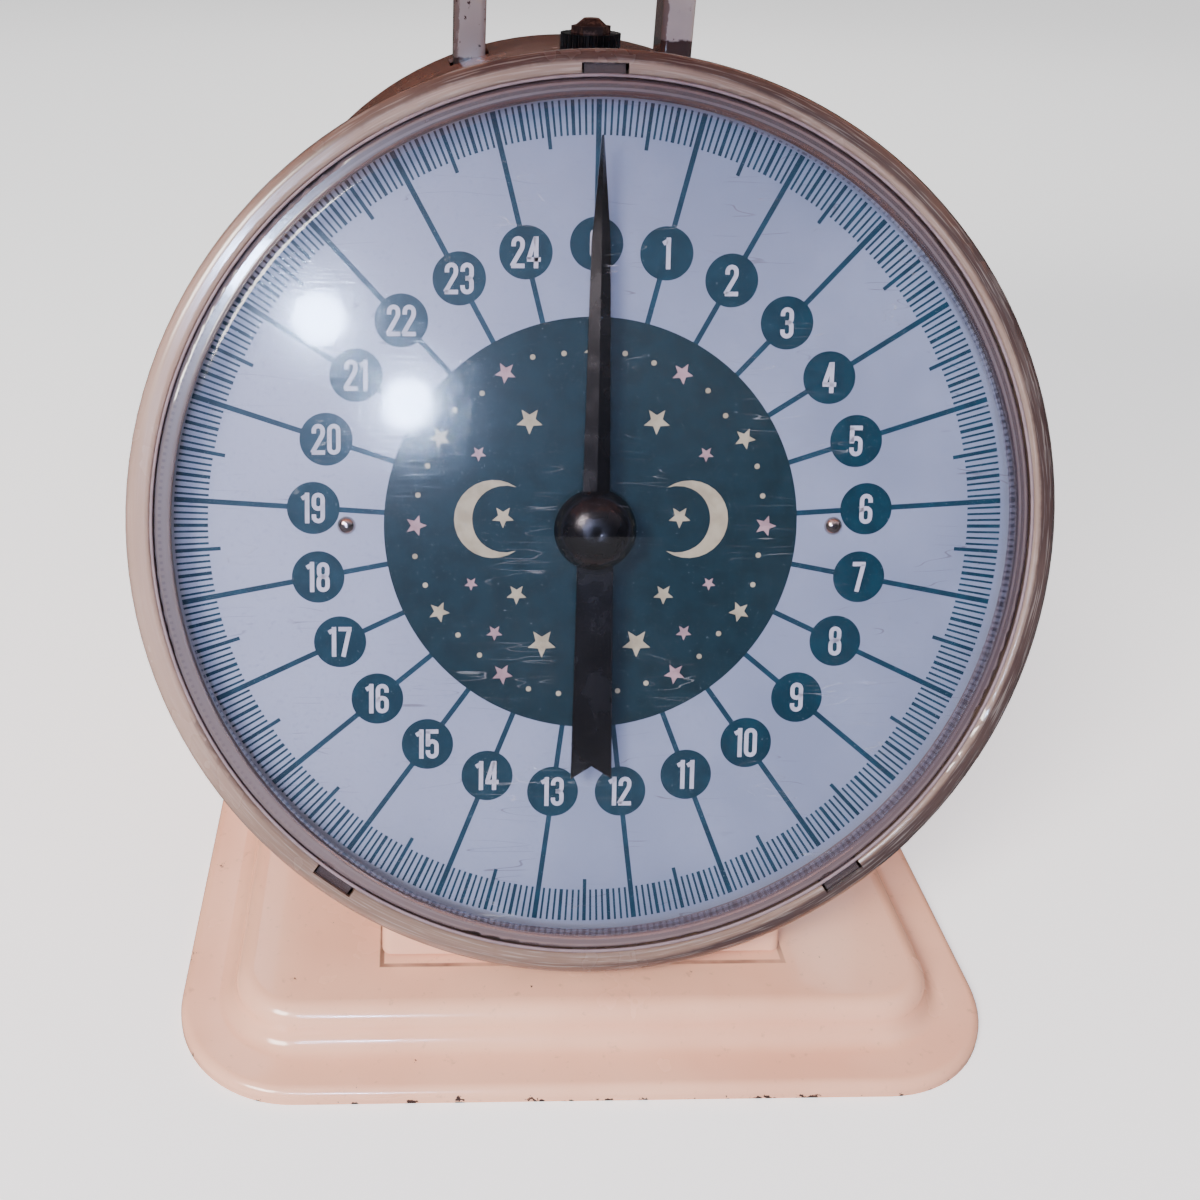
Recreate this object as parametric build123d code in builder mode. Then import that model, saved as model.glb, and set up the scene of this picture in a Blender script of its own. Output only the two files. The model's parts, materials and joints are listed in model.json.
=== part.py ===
from build123d import *
import os
from math import asin, cos, pi, radians, sin, sqrt, tan

# Nursery spring scale: a tray on two posts pulls a carriage down against two springs,
# and a rack on the carriage turns the pointer of the tilted dial.
# X runs to the right, Y away from the person who reads the dial, Z up.
# The origin is on the table, under the middle of the base.

os.makedirs("parts", exist_ok=True)

# Clearances
fit_gap = 0.1
seat_gap = 0.3
running_gap = 0.05

# Base pressing
base_width = 192.0
base_depth = 206.0
base_corner = 29.0
base_sheet = 1.0
rim_height = 3.6
rim_width = 9.0
rim_edge = 2.2
plateau_rise = 9.0
riser_radius = 4.4
plateau_top = rim_height + plateau_rise

# Dial and the dish that holds it
dial_tilt = 19.0
dial_y = -40.2
graduation_radius = 95.0
dial_margin = 2.8
dial_sheet = 0.6
dial_rim = 1.8
bezel_radius = 104.6
bezel_height = 8.6
bezel_edge = 3.0
lip_inner_radius = 98.9
lip_turn_down = 5.6
lip_edge = 1.2
pan_sheet = 1.0
pan_to_base = 0.4
dial_radius = graduation_radius + dial_margin
tilt = radians(dial_tilt)
dial_z = plateau_top + pan_to_base + bezel_radius * cos(tilt)
pan_floor = -dial_rim
pan_back = pan_floor - pan_sheet

# Neck under the dish
neck_width = 96.0
neck_bend = 2.5
neck_flange = 10.0
neck_flange_rise = 20.0
neck_fillet = 4.0
neck_gap = 0.4

# Clear cover
lens_wall = 1.3
lens_gap = 0.5
lens_rim_height = 8.0
lens_step = 4.0
lens_front_height = 13.8
lens_draft = 0.8
lens_rise = 2.4
lens_shoulder = 2.6
lens_tab_width = 9.0
lens_tab_reach = 2.8
lens_tab_angles = (0.0, 144.0, 216.0)
lens_radius = lip_inner_radius - lens_gap
lens_tab_height = bezel_height - pan_sheet - seat_gap - lens_wall

# Drum housing
housing_sheet = 1.0
drum_setback = 17.6
drum_rise = 8.4
drum_back = 75.0
drum_back_radius = 12.0
drum_blend = 12.0
foot_tab_length = 12.0
foot_tab_width = 14.0
lug_length = 12.0
drum_radius = bezel_radius - drum_setback
drum_z = dial_z + drum_rise
drum_top = drum_z + drum_radius
foot_half = neck_width / 2 - pan_sheet - seat_gap

# Chassis
chassis_y = 12.0
chassis_depth = 16.0
chassis_width = 82.0
chassis_sheet = 3.0
chassis_bend = 6.0
chassis_foot = 17.0
chassis_clearance = 4.0
drum_room = drum_radius - housing_sheet - chassis_clearance
chassis_top = drum_z + sqrt(drum_room**2 - (chassis_width / 2) ** 2)
chassis_inside = chassis_width / 2 - chassis_sheet

# Rack and pinion
gear_module = 0.5
pinion_teeth = 10
gear_addendum = 0.40
gear_dedendum = 0.60
gear_backlash = 0.16
pressure_angle = radians(20)
pinion_width = 5.0
rack_depth = -20.0
rack_thickness = 4.0
rack_width = 5.0
rack_tooth_count = 15
rack_foot = 42.0
rack_head_margin = 3.0
rack_pin_radius = 1.2
tooth_pitch = pi * gear_module
pitch_radius = gear_module * pinion_teeth / 2
rack_line = pitch_radius + running_gap
rack_travel = 2 * pi * pitch_radius
scale_travel = rack_travel * cos(tilt)

# Pointer
pointer_height = 6.4
pointer_tip = 86.2
pointer_tail = 57.5
pointer_notch = 3.0
pointer_edge = 0.7
pointer_ridge = 1.7
pointer_hub_radius = 9.3
pointer_hub_top = 12.6
pointer_boss_radius = 3.6
pointer_boss_gap = 1.2
shaft_radius = 1.5
bush_radius = 3.5
bush_flange_radius = 5.2

# Movement bracket
bracket_sheet = 1.5
bracket_half = 24.0
bracket_foot = 12.0
bracket_reach = 24.2
bracket_depth = 18.0
bracket_screw_x = bracket_half + bracket_foot / 2 + 1
guide_radius = 2.5
guide_head_radius = 4.0

# Posts, carriage and guide levers
post_width = 8.2
post_depth = 12.0
post_sheet = 1.2
post_bend = 1.6
post_outer = 30.7
post_reach = 50.0
post_slot_gap = 0.9
floor_clearance = 2.6
carriage_sheet = 2.0
carriage_drop = 51.6
carriage_half = 27.0
carriage_front = 8.0
carriage_ear = 16.0
carriage_rivet_gap = 4.8
carriage_rivet_radius = 1.0
tongue_length = 50.0
tongue_sheet = 1.5
tongue_height = 11.0
fork_gap = 0.5
lever_length = 38.0
lever_width = 9.0
lever_sheet = 1.5
lever_pin_radius = 1.5
lower_lever_rise = 29.4
upper_lever_rise = 30.0
lever_slot_play = 0.3
lever_web = 12.0
lever_swing = asin(scale_travel / 2 / lever_length)
post_pin_y = chassis_y + lever_length * cos(lever_swing)
post_x = post_outer - post_width / 2
post_front = post_pin_y - post_depth / 2
post_top = drum_top + post_reach
post_foot = plateau_top + floor_clearance + scale_travel
lower_pivot_z = plateau_top + lower_lever_rise
upper_pivot_z = drum_z + upper_lever_rise
carriage_z = dial_z - carriage_drop
rivet_z = carriage_z + carriage_sheet + carriage_ear / 2

# Springs and their hanger
spring_x = 20.0
spring_radius = 5.5
spring_wire = 0.8
spring_loop = 3.0
spring_turns = 24
ear_width = 8.0
ear_height = 10.0
ear_sheet = 1.5
bridge_sheet = 3.0
bridge_depth = 14.0
bridge_drop = 12.0
bridge_boss = 5.0
bridge_boss_height = 5.0
adjuster_radius = 2.5
adjuster_collar = 5.0
adjuster_collar_height = 2.4
bridge_top = chassis_top - chassis_sheet - bridge_drop

# Zero knob
knob_radius = 7.0
knob_height = 5.6
knob_grooves = 30
knob_gap = 0.4
cap_height = 3.2
cap_radius = 4.6

# Tray and the frame that carries it
tray_length = 560.0
tray_width = 290.0
tray_corner = 80.0
tray_depth = 45.0
tray_sheet = 1.0
tray_floor_length = 440.0
tray_floor_width = 190.0
tray_floor_corner = 55.0
tray_floor_bend = 12.0
tray_bead = 3.0
bearer_length = 190.0
bearer_height = 14.0
bearer_sheet = 1.5
bearer_y = 0.0
bearer_rivet_radius = 1.6
strap_length = 370.0
strap_width = 22.0
strap_sheet = 2.5
strap_spacing = 150.0
pad_radius = 9.0
pad_height = 3.0
pad_spacing = 330.0
screw_radius = 2.0
screw_head = 3.6
screw_head_height = 1.8
nut_height = 3.0
strap_z = post_top + bearer_sheet
tray_z = strap_z + strap_sheet + pad_height
strap_y = [bearer_y - strap_spacing / 2, bearer_y + strap_spacing / 2]
bearer_rivet_z = post_top - bearer_height / 2

# Frames of reference
dial_normal = Vector(0, -cos(tilt), sin(tilt))
dial_up = Vector(0, sin(tilt), cos(tilt))
dial_origin = Vector(0, dial_y, dial_z)
dial_plane = Plane(origin=dial_origin, x_dir=(1, 0, 0), z_dir=dial_normal)
dial_section = Plane(origin=dial_origin, x_dir=(1, 0, 0), z_dir=dial_up * -1)
dial_axis = Axis(dial_origin, dial_normal)


def dial_spot(across, up, out):
    """Plane parallel to the dial, at a place given across, up and out from its middle."""
    origin = dial_plane.from_local_coords((across, up, out))
    return Plane(origin=origin, x_dir=(1, 0, 0), z_dir=dial_normal)


def side_spot(side, y, z, x):
    """Plane that faces outwards to one side, at distance x from the middle."""
    return Plane(origin=(side * x, y, z), x_dir=(0, 1, 0), z_dir=(side, 0, 0))


def sheet_strip(plane, points, radii, thickness, side):
    """Face of a bent sheet: the outer line through points, bent at radii, made thickness thick."""
    with BuildSketch(plane) as strip:
        with BuildLine():
            FilletPolyline(*points, radius=radii)
            offset(amount=thickness, side=side)
        make_face()
    return strip.sketch


def turned(place, steps):
    """Round piece along the normal of place, from steps of start, end and radius."""
    with BuildPart() as piece:
        for start, end, radius in steps:
            with BuildSketch(place.offset(start)):
                Circle(radius)
            extrude(amount=end - start)
    return piece.part


def fastener(place, head_radius, head_height, radius, grip, tail_radius, tail_height):
    """Screw or rivet: domed head on place, shank through the grip, nut or upset end behind it."""
    section = Plane(origin=place.origin, x_dir=place.x_dir, z_dir=place.y_dir * -1)
    with BuildPart() as piece:
        with BuildSketch(section):
            with BuildLine():
                ThreePointArc((0, head_height), (head_radius * 0.72, head_height * 0.7), (head_radius, 0))
                Polyline(
                    (head_radius, 0),
                    (radius, 0),
                    (radius, -grip),
                    (tail_radius, -grip),
                    (tail_radius, -grip - tail_height),
                    (0, -grip - tail_height),
                    (0, head_height),
                )
            make_face()
        revolve(axis=Axis(place.origin, place.z_dir))
    return piece.part


def pan_form(inset):
    """Solid inside the skin of the base pressing, drawn in by inset."""
    foot_width = base_width - 2 * (rim_width + riser_radius)
    foot_depth = base_depth - 2 * (rim_width + riser_radius)
    foot_corner = base_corner - rim_width - riser_radius
    with BuildPart() as form:
        with BuildSketch():
            RectangleRounded(base_width - 2 * inset, base_depth - 2 * inset, base_corner - inset)
        extrude(amount=rim_height - inset)
        fillet(form.edges().group_by(Axis.Z)[-1], rim_edge - inset)
        with BuildSketch(Plane.XY.offset(rim_height - inset)):
            RectangleRounded(foot_width - 2 * inset, foot_depth - 2 * inset, foot_corner - inset)
        extrude(amount=plateau_rise)
        fillet(form.edges().group_by(Axis.Z)[-1], riser_radius - inset)
        at_rim = form.edges().filter_by_position(Axis.Z, rim_height - inset - 0.01, rim_height - inset + 0.01)
        inner = at_rim.filter_by_position(Axis.X, -foot_width / 2, foot_width / 2)
        fillet(inner.filter_by_position(Axis.Y, -foot_depth / 2, foot_depth / 2), riser_radius + inset)
    return form.part


def housing_form(inset):
    """Solid inside the skin of the drum housing behind the dish, drawn in by inset."""
    foot_top = drum_z - plateau_top
    with BuildPart() as form:
        with BuildSketch(Plane.XZ.offset(-(drum_back - inset))):
            with Locations((0, drum_z)):
                Circle(drum_radius - inset)
            with Locations((0, plateau_top + foot_top / 2)):
                Rectangle(2 * (foot_half - inset), foot_top)
            corners = vertices().filter_by_position(Axis.Y, plateau_top + 1, drum_z - 1)
            fillet(corners, drum_blend + inset)
        extrude(amount=drum_back + bezel_radius)
        rear = form.edges().group_by(Axis.Y)[-1]
        fillet(rear.filter_by_position(Axis.Z, plateau_top + 1, drum_top), drum_back_radius - inset)
        split(bisect_by=dial_plane.offset(pan_back), keep=Keep.BOTTOM)
    return form.part


def lever_piece(pivot_z):
    """Guide lever: two arms and a web, from the chassis pivot up to the pins of the posts."""
    arm_plane = Plane(
        origin=(0, chassis_y, pivot_z),
        x_dir=(0, cos(lever_swing), sin(lever_swing)),
        z_dir=(1, 0, 0),
    )
    slot_length = lever_length * (1 - cos(lever_swing)) + 2 * lever_slot_play
    slot_middle = lever_length * (1 + cos(lever_swing)) / 2
    slot_width = 2 * (lever_pin_radius + lever_slot_play)
    arm_start = chassis_inside - fork_gap * 3 - lever_sheet
    with BuildPart() as lever:
        with BuildSketch(arm_plane.offset(arm_start)):
            with Locations((lever_length / 2, 0)):
                SlotCenterToCenter(lever_length, lever_width)
            Circle(lever_pin_radius + running_gap, mode=Mode.SUBTRACT)
            with Locations((slot_middle, 0)):
                SlotCenterToCenter(slot_length, slot_width, mode=Mode.SUBTRACT)
        extrude(amount=lever_sheet)
        mirror(about=Plane.YZ)
        with BuildSketch(arm_plane):
            with Locations((lever_length / 2, -lever_width / 2 + lever_sheet / 2)):
                Rectangle(lever_web, lever_sheet)
        extrude(amount=arm_start + lever_sheet / 2, both=True)
    return lever.part


def post_piece(side):
    """Upright pressed channel, its web to the front and its flanges to the back."""
    with BuildPart() as post:
        with BuildSketch(Plane.XY.offset(post_foot)):
            with Locations((side * post_x, post_front + post_depth / 2)):
                Rectangle(post_width, post_depth)
            fillet(vertices().group_by(Axis.Y)[0], post_bend)
            with Locations((side * post_x, post_front + post_depth / 2 + post_sheet)):
                Rectangle(post_width - 2 * post_sheet, post_depth, mode=Mode.SUBTRACT)
        extrude(amount=post_top - post_foot)
        for pin_z in (lower_pin_z, upper_pin_z):
            across = Plane(origin=(0, post_pin_y, pin_z), x_dir=(0, 1, 0), z_dir=(1, 0, 0))
            with BuildSketch(across):
                Circle(lever_pin_radius)
            extrude(amount=post_outer + 1, both=True, mode=Mode.SUBTRACT)
        with BuildSketch(Plane(origin=(0, post_pin_y, 0), x_dir=(0, 1, 0), z_dir=(1, 0, 0))):
            with Locations((0, bearer_rivet_z)):
                Circle(bearer_rivet_radius + fit_gap)
        extrude(amount=post_outer + 1, both=True, mode=Mode.SUBTRACT)
        with BuildSketch(Plane(origin=(0, post_pin_y, 0), x_dir=(0, 1, 0), z_dir=(1, 0, 0))):
            with Locations((carriage_rivet_gap / 2, rivet_z), (-carriage_rivet_gap / 2, rivet_z)):
                Circle(carriage_rivet_radius + fit_gap)
        extrude(amount=post_outer - post_width + post_sheet + 1, both=True, mode=Mode.SUBTRACT)
    return post.part


def spring_piece(side):
    """Close wound extension spring with a loop at each end, one in each anchor ear."""
    top = upper_ear_z - spring_loop
    bottom = lower_ear_z + spring_loop
    coil_top = top - spring_loop
    coil_bottom = bottom + spring_loop
    pitch = (coil_top - coil_bottom) / spring_turns
    with BuildPart() as spring:
        for turn in range(spring_turns):
            start = coil_bottom + turn * pitch
            with BuildSketch(Plane.XZ.offset(-chassis_y)):
                with Locations((side * spring_x, start)):
                    Polygon(
                        (spring_radius - 2 * spring_wire, 0),
                        (spring_radius - spring_wire / 2, 0),
                        (spring_radius, pitch / 2),
                        (spring_radius - spring_wire / 2, pitch),
                        (spring_radius - 2 * spring_wire, pitch),
                        align=None,
                    )
        revolve(axis=Axis((side * spring_x, chassis_y, 0), (0, 0, 1)))
        for loop_z, end_z in ((top, coil_top), (bottom, coil_bottom)):
            with BuildSketch(Plane.XY.offset(loop_z)):
                with Locations((side * spring_x, chassis_y + spring_loop)):
                    Circle(spring_wire)
            revolve(axis=Axis((side * spring_x, chassis_y, loop_z), (1, 0, 0)))
            with BuildSketch(Plane.XY.offset(end_z - spring_wire / 2)):
                with Locations((side * spring_x, chassis_y)):
                    Circle(spring_radius - spring_wire)
            extrude(amount=spring_wire)
    return spring.part


def bearer_piece(side):
    """Channel that lies over the top of one post and carries the tray straps."""
    inner = post_width + 2 * fit_gap
    outer = inner + 2 * bearer_sheet
    with BuildPart() as bearer:
        with BuildSketch(Plane.XZ.offset(-(bearer_y + bearer_length / 2))):
            with Locations((side * post_x, post_top + bearer_sheet - bearer_height / 2)):
                Rectangle(outer, bearer_height)
            fillet(vertices().group_by(Axis.Y)[-1], bearer_sheet)
            with Locations((side * post_x, post_top - bearer_height / 2)):
                Rectangle(inner, bearer_height, mode=Mode.SUBTRACT)
        extrude(amount=bearer_length)
        with BuildSketch(Plane(origin=(0, post_pin_y, 0), x_dir=(0, 1, 0), z_dir=(1, 0, 0))):
            with Locations((0, bearer_rivet_z)):
                Circle(bearer_rivet_radius + fit_gap)
        extrude(amount=2 * post_outer, both=True, mode=Mode.SUBTRACT)
        with Locations(*[(side * post_x, y, post_top + bearer_sheet) for y in strap_y]):
            Hole(screw_radius + fit_gap, depth=2 * bearer_sheet)
    return bearer.part


def tray_form(inset):
    """Solid inside the skin of the tray, drawn in by inset."""
    with BuildPart() as form:
        with BuildSketch(Plane.XY.offset(tray_z + inset)):
            RectangleRounded(
                tray_floor_length - 2 * inset, tray_floor_width - 2 * inset, tray_floor_corner - inset
            )
        with BuildSketch(Plane.XY.offset(tray_z + tray_depth)):
            RectangleRounded(tray_length - 2 * inset, tray_width - 2 * inset, tray_corner - inset)
        loft(ruled=True)
        fillet(form.edges().group_by(Axis.Z)[0], tray_floor_bend - inset)
    return form.part


# Base pressing, open underneath, with holes for the screws that stand in it
lower_pin_z = lower_pivot_z + lever_length * sin(lever_swing)
upper_pin_z = upper_pivot_z + lever_length * sin(lever_swing)
upper_ear_z = bridge_top - bridge_sheet - ear_height + ear_width / 2
lower_ear_z = carriage_z + ear_height - ear_width / 2
tab_x = foot_half - foot_tab_length / 2
tab_spots = [(side * tab_x, side_y) for side in (-1, 1) for side_y in (chassis_y - 52, chassis_y + 38)]
foot_x = chassis_width / 2 - chassis_foot + ear_width
foot_spots = [(side * foot_x, chassis_y) for side in (-1, 1)]

with BuildPart() as base_pan:
    add(pan_form(0))
    add(pan_form(base_sheet), mode=Mode.SUBTRACT)
    with Locations(*[(x, y, plateau_top) for x, y in tab_spots + foot_spots]):
        Hole(screw_radius + fit_gap, depth=2 * base_sheet)
base_pan.part.label = "base_pan"
export_step(base_pan.part, "parts/base_pan.step")

# Drum housing, open to the front and below, with slots for the posts
lug_x = drum_radius - housing_sheet - lug_length / 2
lug_up = (drum_z - dial_z - pan_back * sin(tilt)) / cos(tilt)

with BuildPart() as housing_shell:
    add(housing_form(0))
    add(housing_form(housing_sheet), mode=Mode.SUBTRACT)
    with Locations(*[(x, y, plateau_top + housing_sheet / 2) for x, y in tab_spots]):
        Box(foot_tab_length, foot_tab_width, housing_sheet)
    with BuildSketch(dial_plane.offset(pan_back)):
        with Locations((lug_x, lug_up), (-lug_x, lug_up)):
            Rectangle(lug_length, lug_length)
    extrude(amount=-housing_sheet)
    with BuildSketch(Plane.XY.offset(drum_z)):
        with Locations(*[(side * post_x, post_pin_y) for side in (-1, 1)]):
            Rectangle(post_width + 2 * post_slot_gap, post_depth + 2 * post_slot_gap)
        with Locations((0, chassis_y)):
            Circle(adjuster_radius + knob_gap)
    extrude(amount=drum_radius, mode=Mode.SUBTRACT)
    with Locations(*[(x, y, plateau_top + housing_sheet) for x, y in tab_spots]):
        Hole(screw_radius + fit_gap, depth=2 * housing_sheet)
    with Locations(*[dial_spot(side * lug_x, lug_up, pan_back).location for side in (-1, 1)]):
        Hole(screw_radius + fit_gap, depth=2 * housing_sheet)
housing_shell.part.label = "housing_shell"
export_step(housing_shell.part, "parts/housing_shell.step")
# Dish with a rolled bezel, its neck, and the seats of the dial and the lens
rivet_x = 56.0
pad_disc_radius = 4.0
notch_width = lens_tab_width + 2 * fit_gap + 1
neck_low = dial_plane.to_local_coords(Vector(0, dial_y, plateau_top)).Y - neck_flange
neck_flange_up = neck_low + neck_flange + neck_flange_rise
bezel_points = [
    (bush_radius, pan_back),
    (bezel_radius, pan_back),
    (bezel_radius, bezel_height),
    (lip_inner_radius, bezel_height),
    (lip_inner_radius, bezel_height - lip_turn_down),
]
bezel_bends = [bezel_edge, bezel_edge, lip_edge]

with BuildPart() as neck_blend:
    with BuildSketch(dial_section):
        with BuildLine():
            Polyline(
                (bezel_radius, pan_floor + neck_fillet),
                (bezel_radius - pan_sheet / 2, pan_floor + bezel_edge),
                (bezel_radius - bezel_edge / 2, pan_floor),
                (bezel_radius + neck_fillet, pan_floor),
            )
            arc_end = (bezel_radius, pan_floor + neck_fillet)
            RadiusArc((bezel_radius + neck_fillet, pan_floor), arc_end, neck_fillet)
        make_face()
    revolve(axis=dial_axis)
    with Locations((0, dial_y - bezel_radius * sin(tilt), plateau_top)):
        Box(neck_width - 2 * neck_bend, bezel_radius, 2 * neck_flange_rise, mode=Mode.INTERSECT)

with BuildPart() as front_pan:
    with BuildSketch(dial_plane.offset(pan_floor - neck_flange)):
        with Locations((0, (neck_low + neck_flange_up) / 2)):
            Rectangle(neck_width, neck_flange_up - neck_low)
    extrude(amount=neck_flange)
    fillet(front_pan.faces().sort_by(dial_axis)[-1].edges().filter_by(Axis(dial_origin, dial_up)), neck_bend)
    with BuildSketch(dial_plane.offset(pan_floor - neck_flange)):
        with Locations((0, (neck_low + neck_flange_up) / 2)):
            Rectangle(neck_width - 2 * pan_sheet, neck_flange_up - neck_low)
    extrude(amount=neck_flange - pan_sheet, mode=Mode.SUBTRACT)
    with BuildSketch(dial_plane.offset(pan_back)):
        with Locations((0, (neck_low - rivet_x) / 2)):
            Rectangle(neck_width - 2 * neck_bend, -rivet_x - neck_low)
    extrude(amount=pan_sheet)
    add(neck_blend.part)
    split(bisect_by=Plane.XY.offset(plateau_top + neck_gap), keep=Keep.TOP)
    revolve(sheet_strip(dial_section, bezel_points, bezel_bends, pan_sheet, Side.LEFT), axis=dial_axis)
    with BuildSketch(dial_plane.offset(pan_floor)):
        with Locations((rivet_x, 0), (-rivet_x, 0)):
            Circle(pad_disc_radius)
    extrude(amount=dial_rim - dial_sheet)
    with BuildSketch(dial_plane.offset(bezel_height - lip_turn_down - fit_gap)):
        for angle in lens_tab_angles:
            with Locations(Location((0, 0, 0), (0, 0, -angle))):
                with Locations((0, lip_inner_radius)):
                    Rectangle(notch_width, 2 * (lip_edge + pan_sheet))
    extrude(amount=bezel_height, mode=Mode.SUBTRACT)
    with Locations(*[dial_spot(side * rivet_x, 0, pan_floor + dial_rim).location for side in (-1, 1)]):
        Hole(shaft_radius + fit_gap, depth=4 * pan_sheet)
    with Locations(*[dial_spot(side * lug_x, lug_up, pan_floor).location for side in (-1, 1)]):
        Hole(screw_radius + fit_gap, depth=2 * pan_sheet)
    with Locations(*[dial_spot(side * bracket_screw_x, 0, pan_floor).location for side in (-1, 1)]):
        Hole(screw_radius + fit_gap, depth=2 * pan_sheet)
front_pan.part.label = "front_pan"
export_step(front_pan.part, "parts/front_pan.step")

# Dial, a shallow sheet disc with its rim turned back
with BuildPart() as dial_plate:
    with BuildSketch(dial_plane.offset(-dial_rim)):
        Circle(dial_radius)
    extrude(amount=dial_rim)
    with BuildSketch(dial_plane.offset(-dial_rim)):
        Circle(dial_radius - dial_sheet)
    extrude(amount=dial_rim - dial_sheet, mode=Mode.SUBTRACT)
    with BuildSketch(dial_plane.offset(-dial_sheet)):
        Circle(bush_radius + fit_gap)
        with Locations((rivet_x, 0), (-rivet_x, 0)):
            Circle(shaft_radius + fit_gap)
    extrude(amount=dial_sheet, mode=Mode.SUBTRACT)
dial_plate.part.label = "dial_plate"
export_step(dial_plate.part, "parts/dial_plate.step")

# Two domed rivets through the dial
rivet_head = 2.1
rivets = [
    fastener(
        dial_spot(side * rivet_x, 0, 0), rivet_head, 1.3, shaft_radius, dial_rim + pan_sheet, rivet_head, 1.0
    )
    for side in (-1, 1)
]
with BuildPart() as dial_rivets:
    add(rivets)
dial_rivets.part.label = "dial_rivets"
export_step(dial_rivets.part, "parts/dial_rivets.step")

# Clear cover: skirt, rim, step and a slightly domed front in one moulding, with snap tabs
lens_step_radius = lens_radius - lens_step
lens_front_radius = lens_step_radius - lens_draft
dome_radius = (lens_front_radius**2 + lens_rise**2) / (2 * lens_rise)

with BuildPart() as lens:
    with BuildSketch(dial_section):
        with BuildLine():
            FilletPolyline(
                (lens_radius, 0),
                (lens_radius, lens_rim_height),
                (lens_step_radius, lens_rim_height),
                (lens_front_radius, lens_front_height),
                radius=[lens_wall + 0.2, 1.0],
            )
            dome_top = (0, lens_front_height + lens_rise)
            RadiusArc((lens_front_radius, lens_front_height), dome_top, -dome_radius)
            offset(amount=lens_wall, side=Side.LEFT)
        make_face()
    revolve(axis=dial_axis)
    rims = lens.edges().filter_by(GeomType.CIRCLE).filter_by(lambda edge: edge.radius < bezel_radius)
    fillet(rims.sort_by(dial_axis)[-1], lens_shoulder)
    with BuildSketch(dial_plane.offset(lens_tab_height)):
        for angle in lens_tab_angles:
            with Locations(Location((0, 0, 0), (0, 0, -angle))):
                with Locations((0, lens_radius + lens_tab_reach / 2 - lens_wall / 2)):
                    Rectangle(lens_tab_width, lens_tab_reach + lens_wall)
    extrude(amount=lens_wall)
lens.part.label = "lens"
export_step(lens.part, "parts/lens.step")

# Chassis: an upright hoop of thick strip that stands on the base inside the drum
chassis_points = [
    (foot_x - ear_width, plateau_top),
    (chassis_width / 2, plateau_top),
    (chassis_width / 2, chassis_top),
    (-chassis_width / 2, chassis_top),
    (-chassis_width / 2, plateau_top),
    (ear_width - foot_x, plateau_top),
]
with BuildPart() as chassis_frame:
    strip = sheet_strip(Plane.XZ.offset(-chassis_y), chassis_points, chassis_bend, chassis_sheet, Side.LEFT)
    extrude(strip, amount=chassis_depth / 2, both=True)
    with Locations(*[(x, y, plateau_top + chassis_sheet) for x, y in foot_spots]):
        Hole(screw_radius + fit_gap, depth=chassis_sheet)
    with Locations((0, chassis_y, chassis_top)):
        Hole(adjuster_radius + running_gap, depth=chassis_sheet)
    for pivot_z in (lower_pivot_z, upper_pivot_z):
        with BuildSketch(Plane(origin=(0, chassis_y, pivot_z), x_dir=(0, 1, 0), z_dir=(1, 0, 0))):
            Circle(lever_pin_radius)
        extrude(amount=chassis_width, both=True, mode=Mode.SUBTRACT)
chassis_frame.part.label = "chassis_frame"
export_step(chassis_frame.part, "parts/chassis_frame.step")

# Screws that stand in the base, their heads under it and their nuts inside
base_fasteners = [
    fastener(
        Plane(origin=(x, y, plateau_top - base_sheet), x_dir=(1, 0, 0), z_dir=(0, 0, -1)),
        screw_head,
        screw_head_height,
        screw_radius,
        base_sheet + sheet,
        screw_head,
        nut_height,
    )
    for spots, sheet in ((tab_spots, housing_sheet), (foot_spots, chassis_sheet))
    for x, y in spots
]
with BuildPart() as base_screws:
    add(base_fasteners)
base_screws.part.label = "base_screws"
export_step(base_screws.part, "parts/base_screws.step")

# Screws that hold the dish to the lugs of the drum
pan_fasteners = [
    fastener(
        dial_spot(side * lug_x, lug_up, pan_floor),
        screw_head,
        dial_rim - dial_sheet - fit_gap,
        screw_radius,
        pan_sheet + housing_sheet,
        screw_head,
        nut_height,
    )
    for side in (-1, 1)
]
with BuildPart() as pan_screws:
    add(pan_fasteners)
pan_screws.part.label = "pan_screws"
export_step(pan_screws.part, "parts/pan_screws.step")

# Movement bracket: a bent strip behind the dish that carries the back end of the shaft
bracket_points = [
    (bracket_half + bracket_foot, pan_back),
    (bracket_half, pan_back),
    (bracket_half, pan_back - bracket_reach),
    (-bracket_half, pan_back - bracket_reach),
    (-bracket_half, pan_back),
    (-bracket_half - bracket_foot, pan_back),
]
bracket_bends = [bracket_sheet + 0.1, 2 * bracket_sheet, 2 * bracket_sheet, bracket_sheet + 0.1]
bracket_plate = pan_back - bracket_reach
guide_x = rack_line + gear_dedendum + rack_width + fit_gap + guide_radius
with BuildPart() as movement_bracket:
    strip = sheet_strip(dial_section, bracket_points, bracket_bends, bracket_sheet, Side.LEFT)
    extrude(strip, amount=bracket_depth / 2, both=True)
    with BuildSketch(dial_plane.offset(bracket_plate)):
        Circle(bush_radius)
        with Locations((guide_x, 0)):
            Circle(shaft_radius)
    extrude(amount=bracket_sheet, both=True, mode=Mode.SUBTRACT)
    with BuildSketch(dial_plane.offset(pan_back)):
        with Locations((bracket_screw_x, 0), (-bracket_screw_x, 0)):
            Circle(screw_radius + fit_gap)
    extrude(amount=bracket_sheet, both=True, mode=Mode.SUBTRACT)
movement_bracket.part.label = "movement_bracket"
export_step(movement_bracket.part, "parts/movement_bracket.step")

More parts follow.
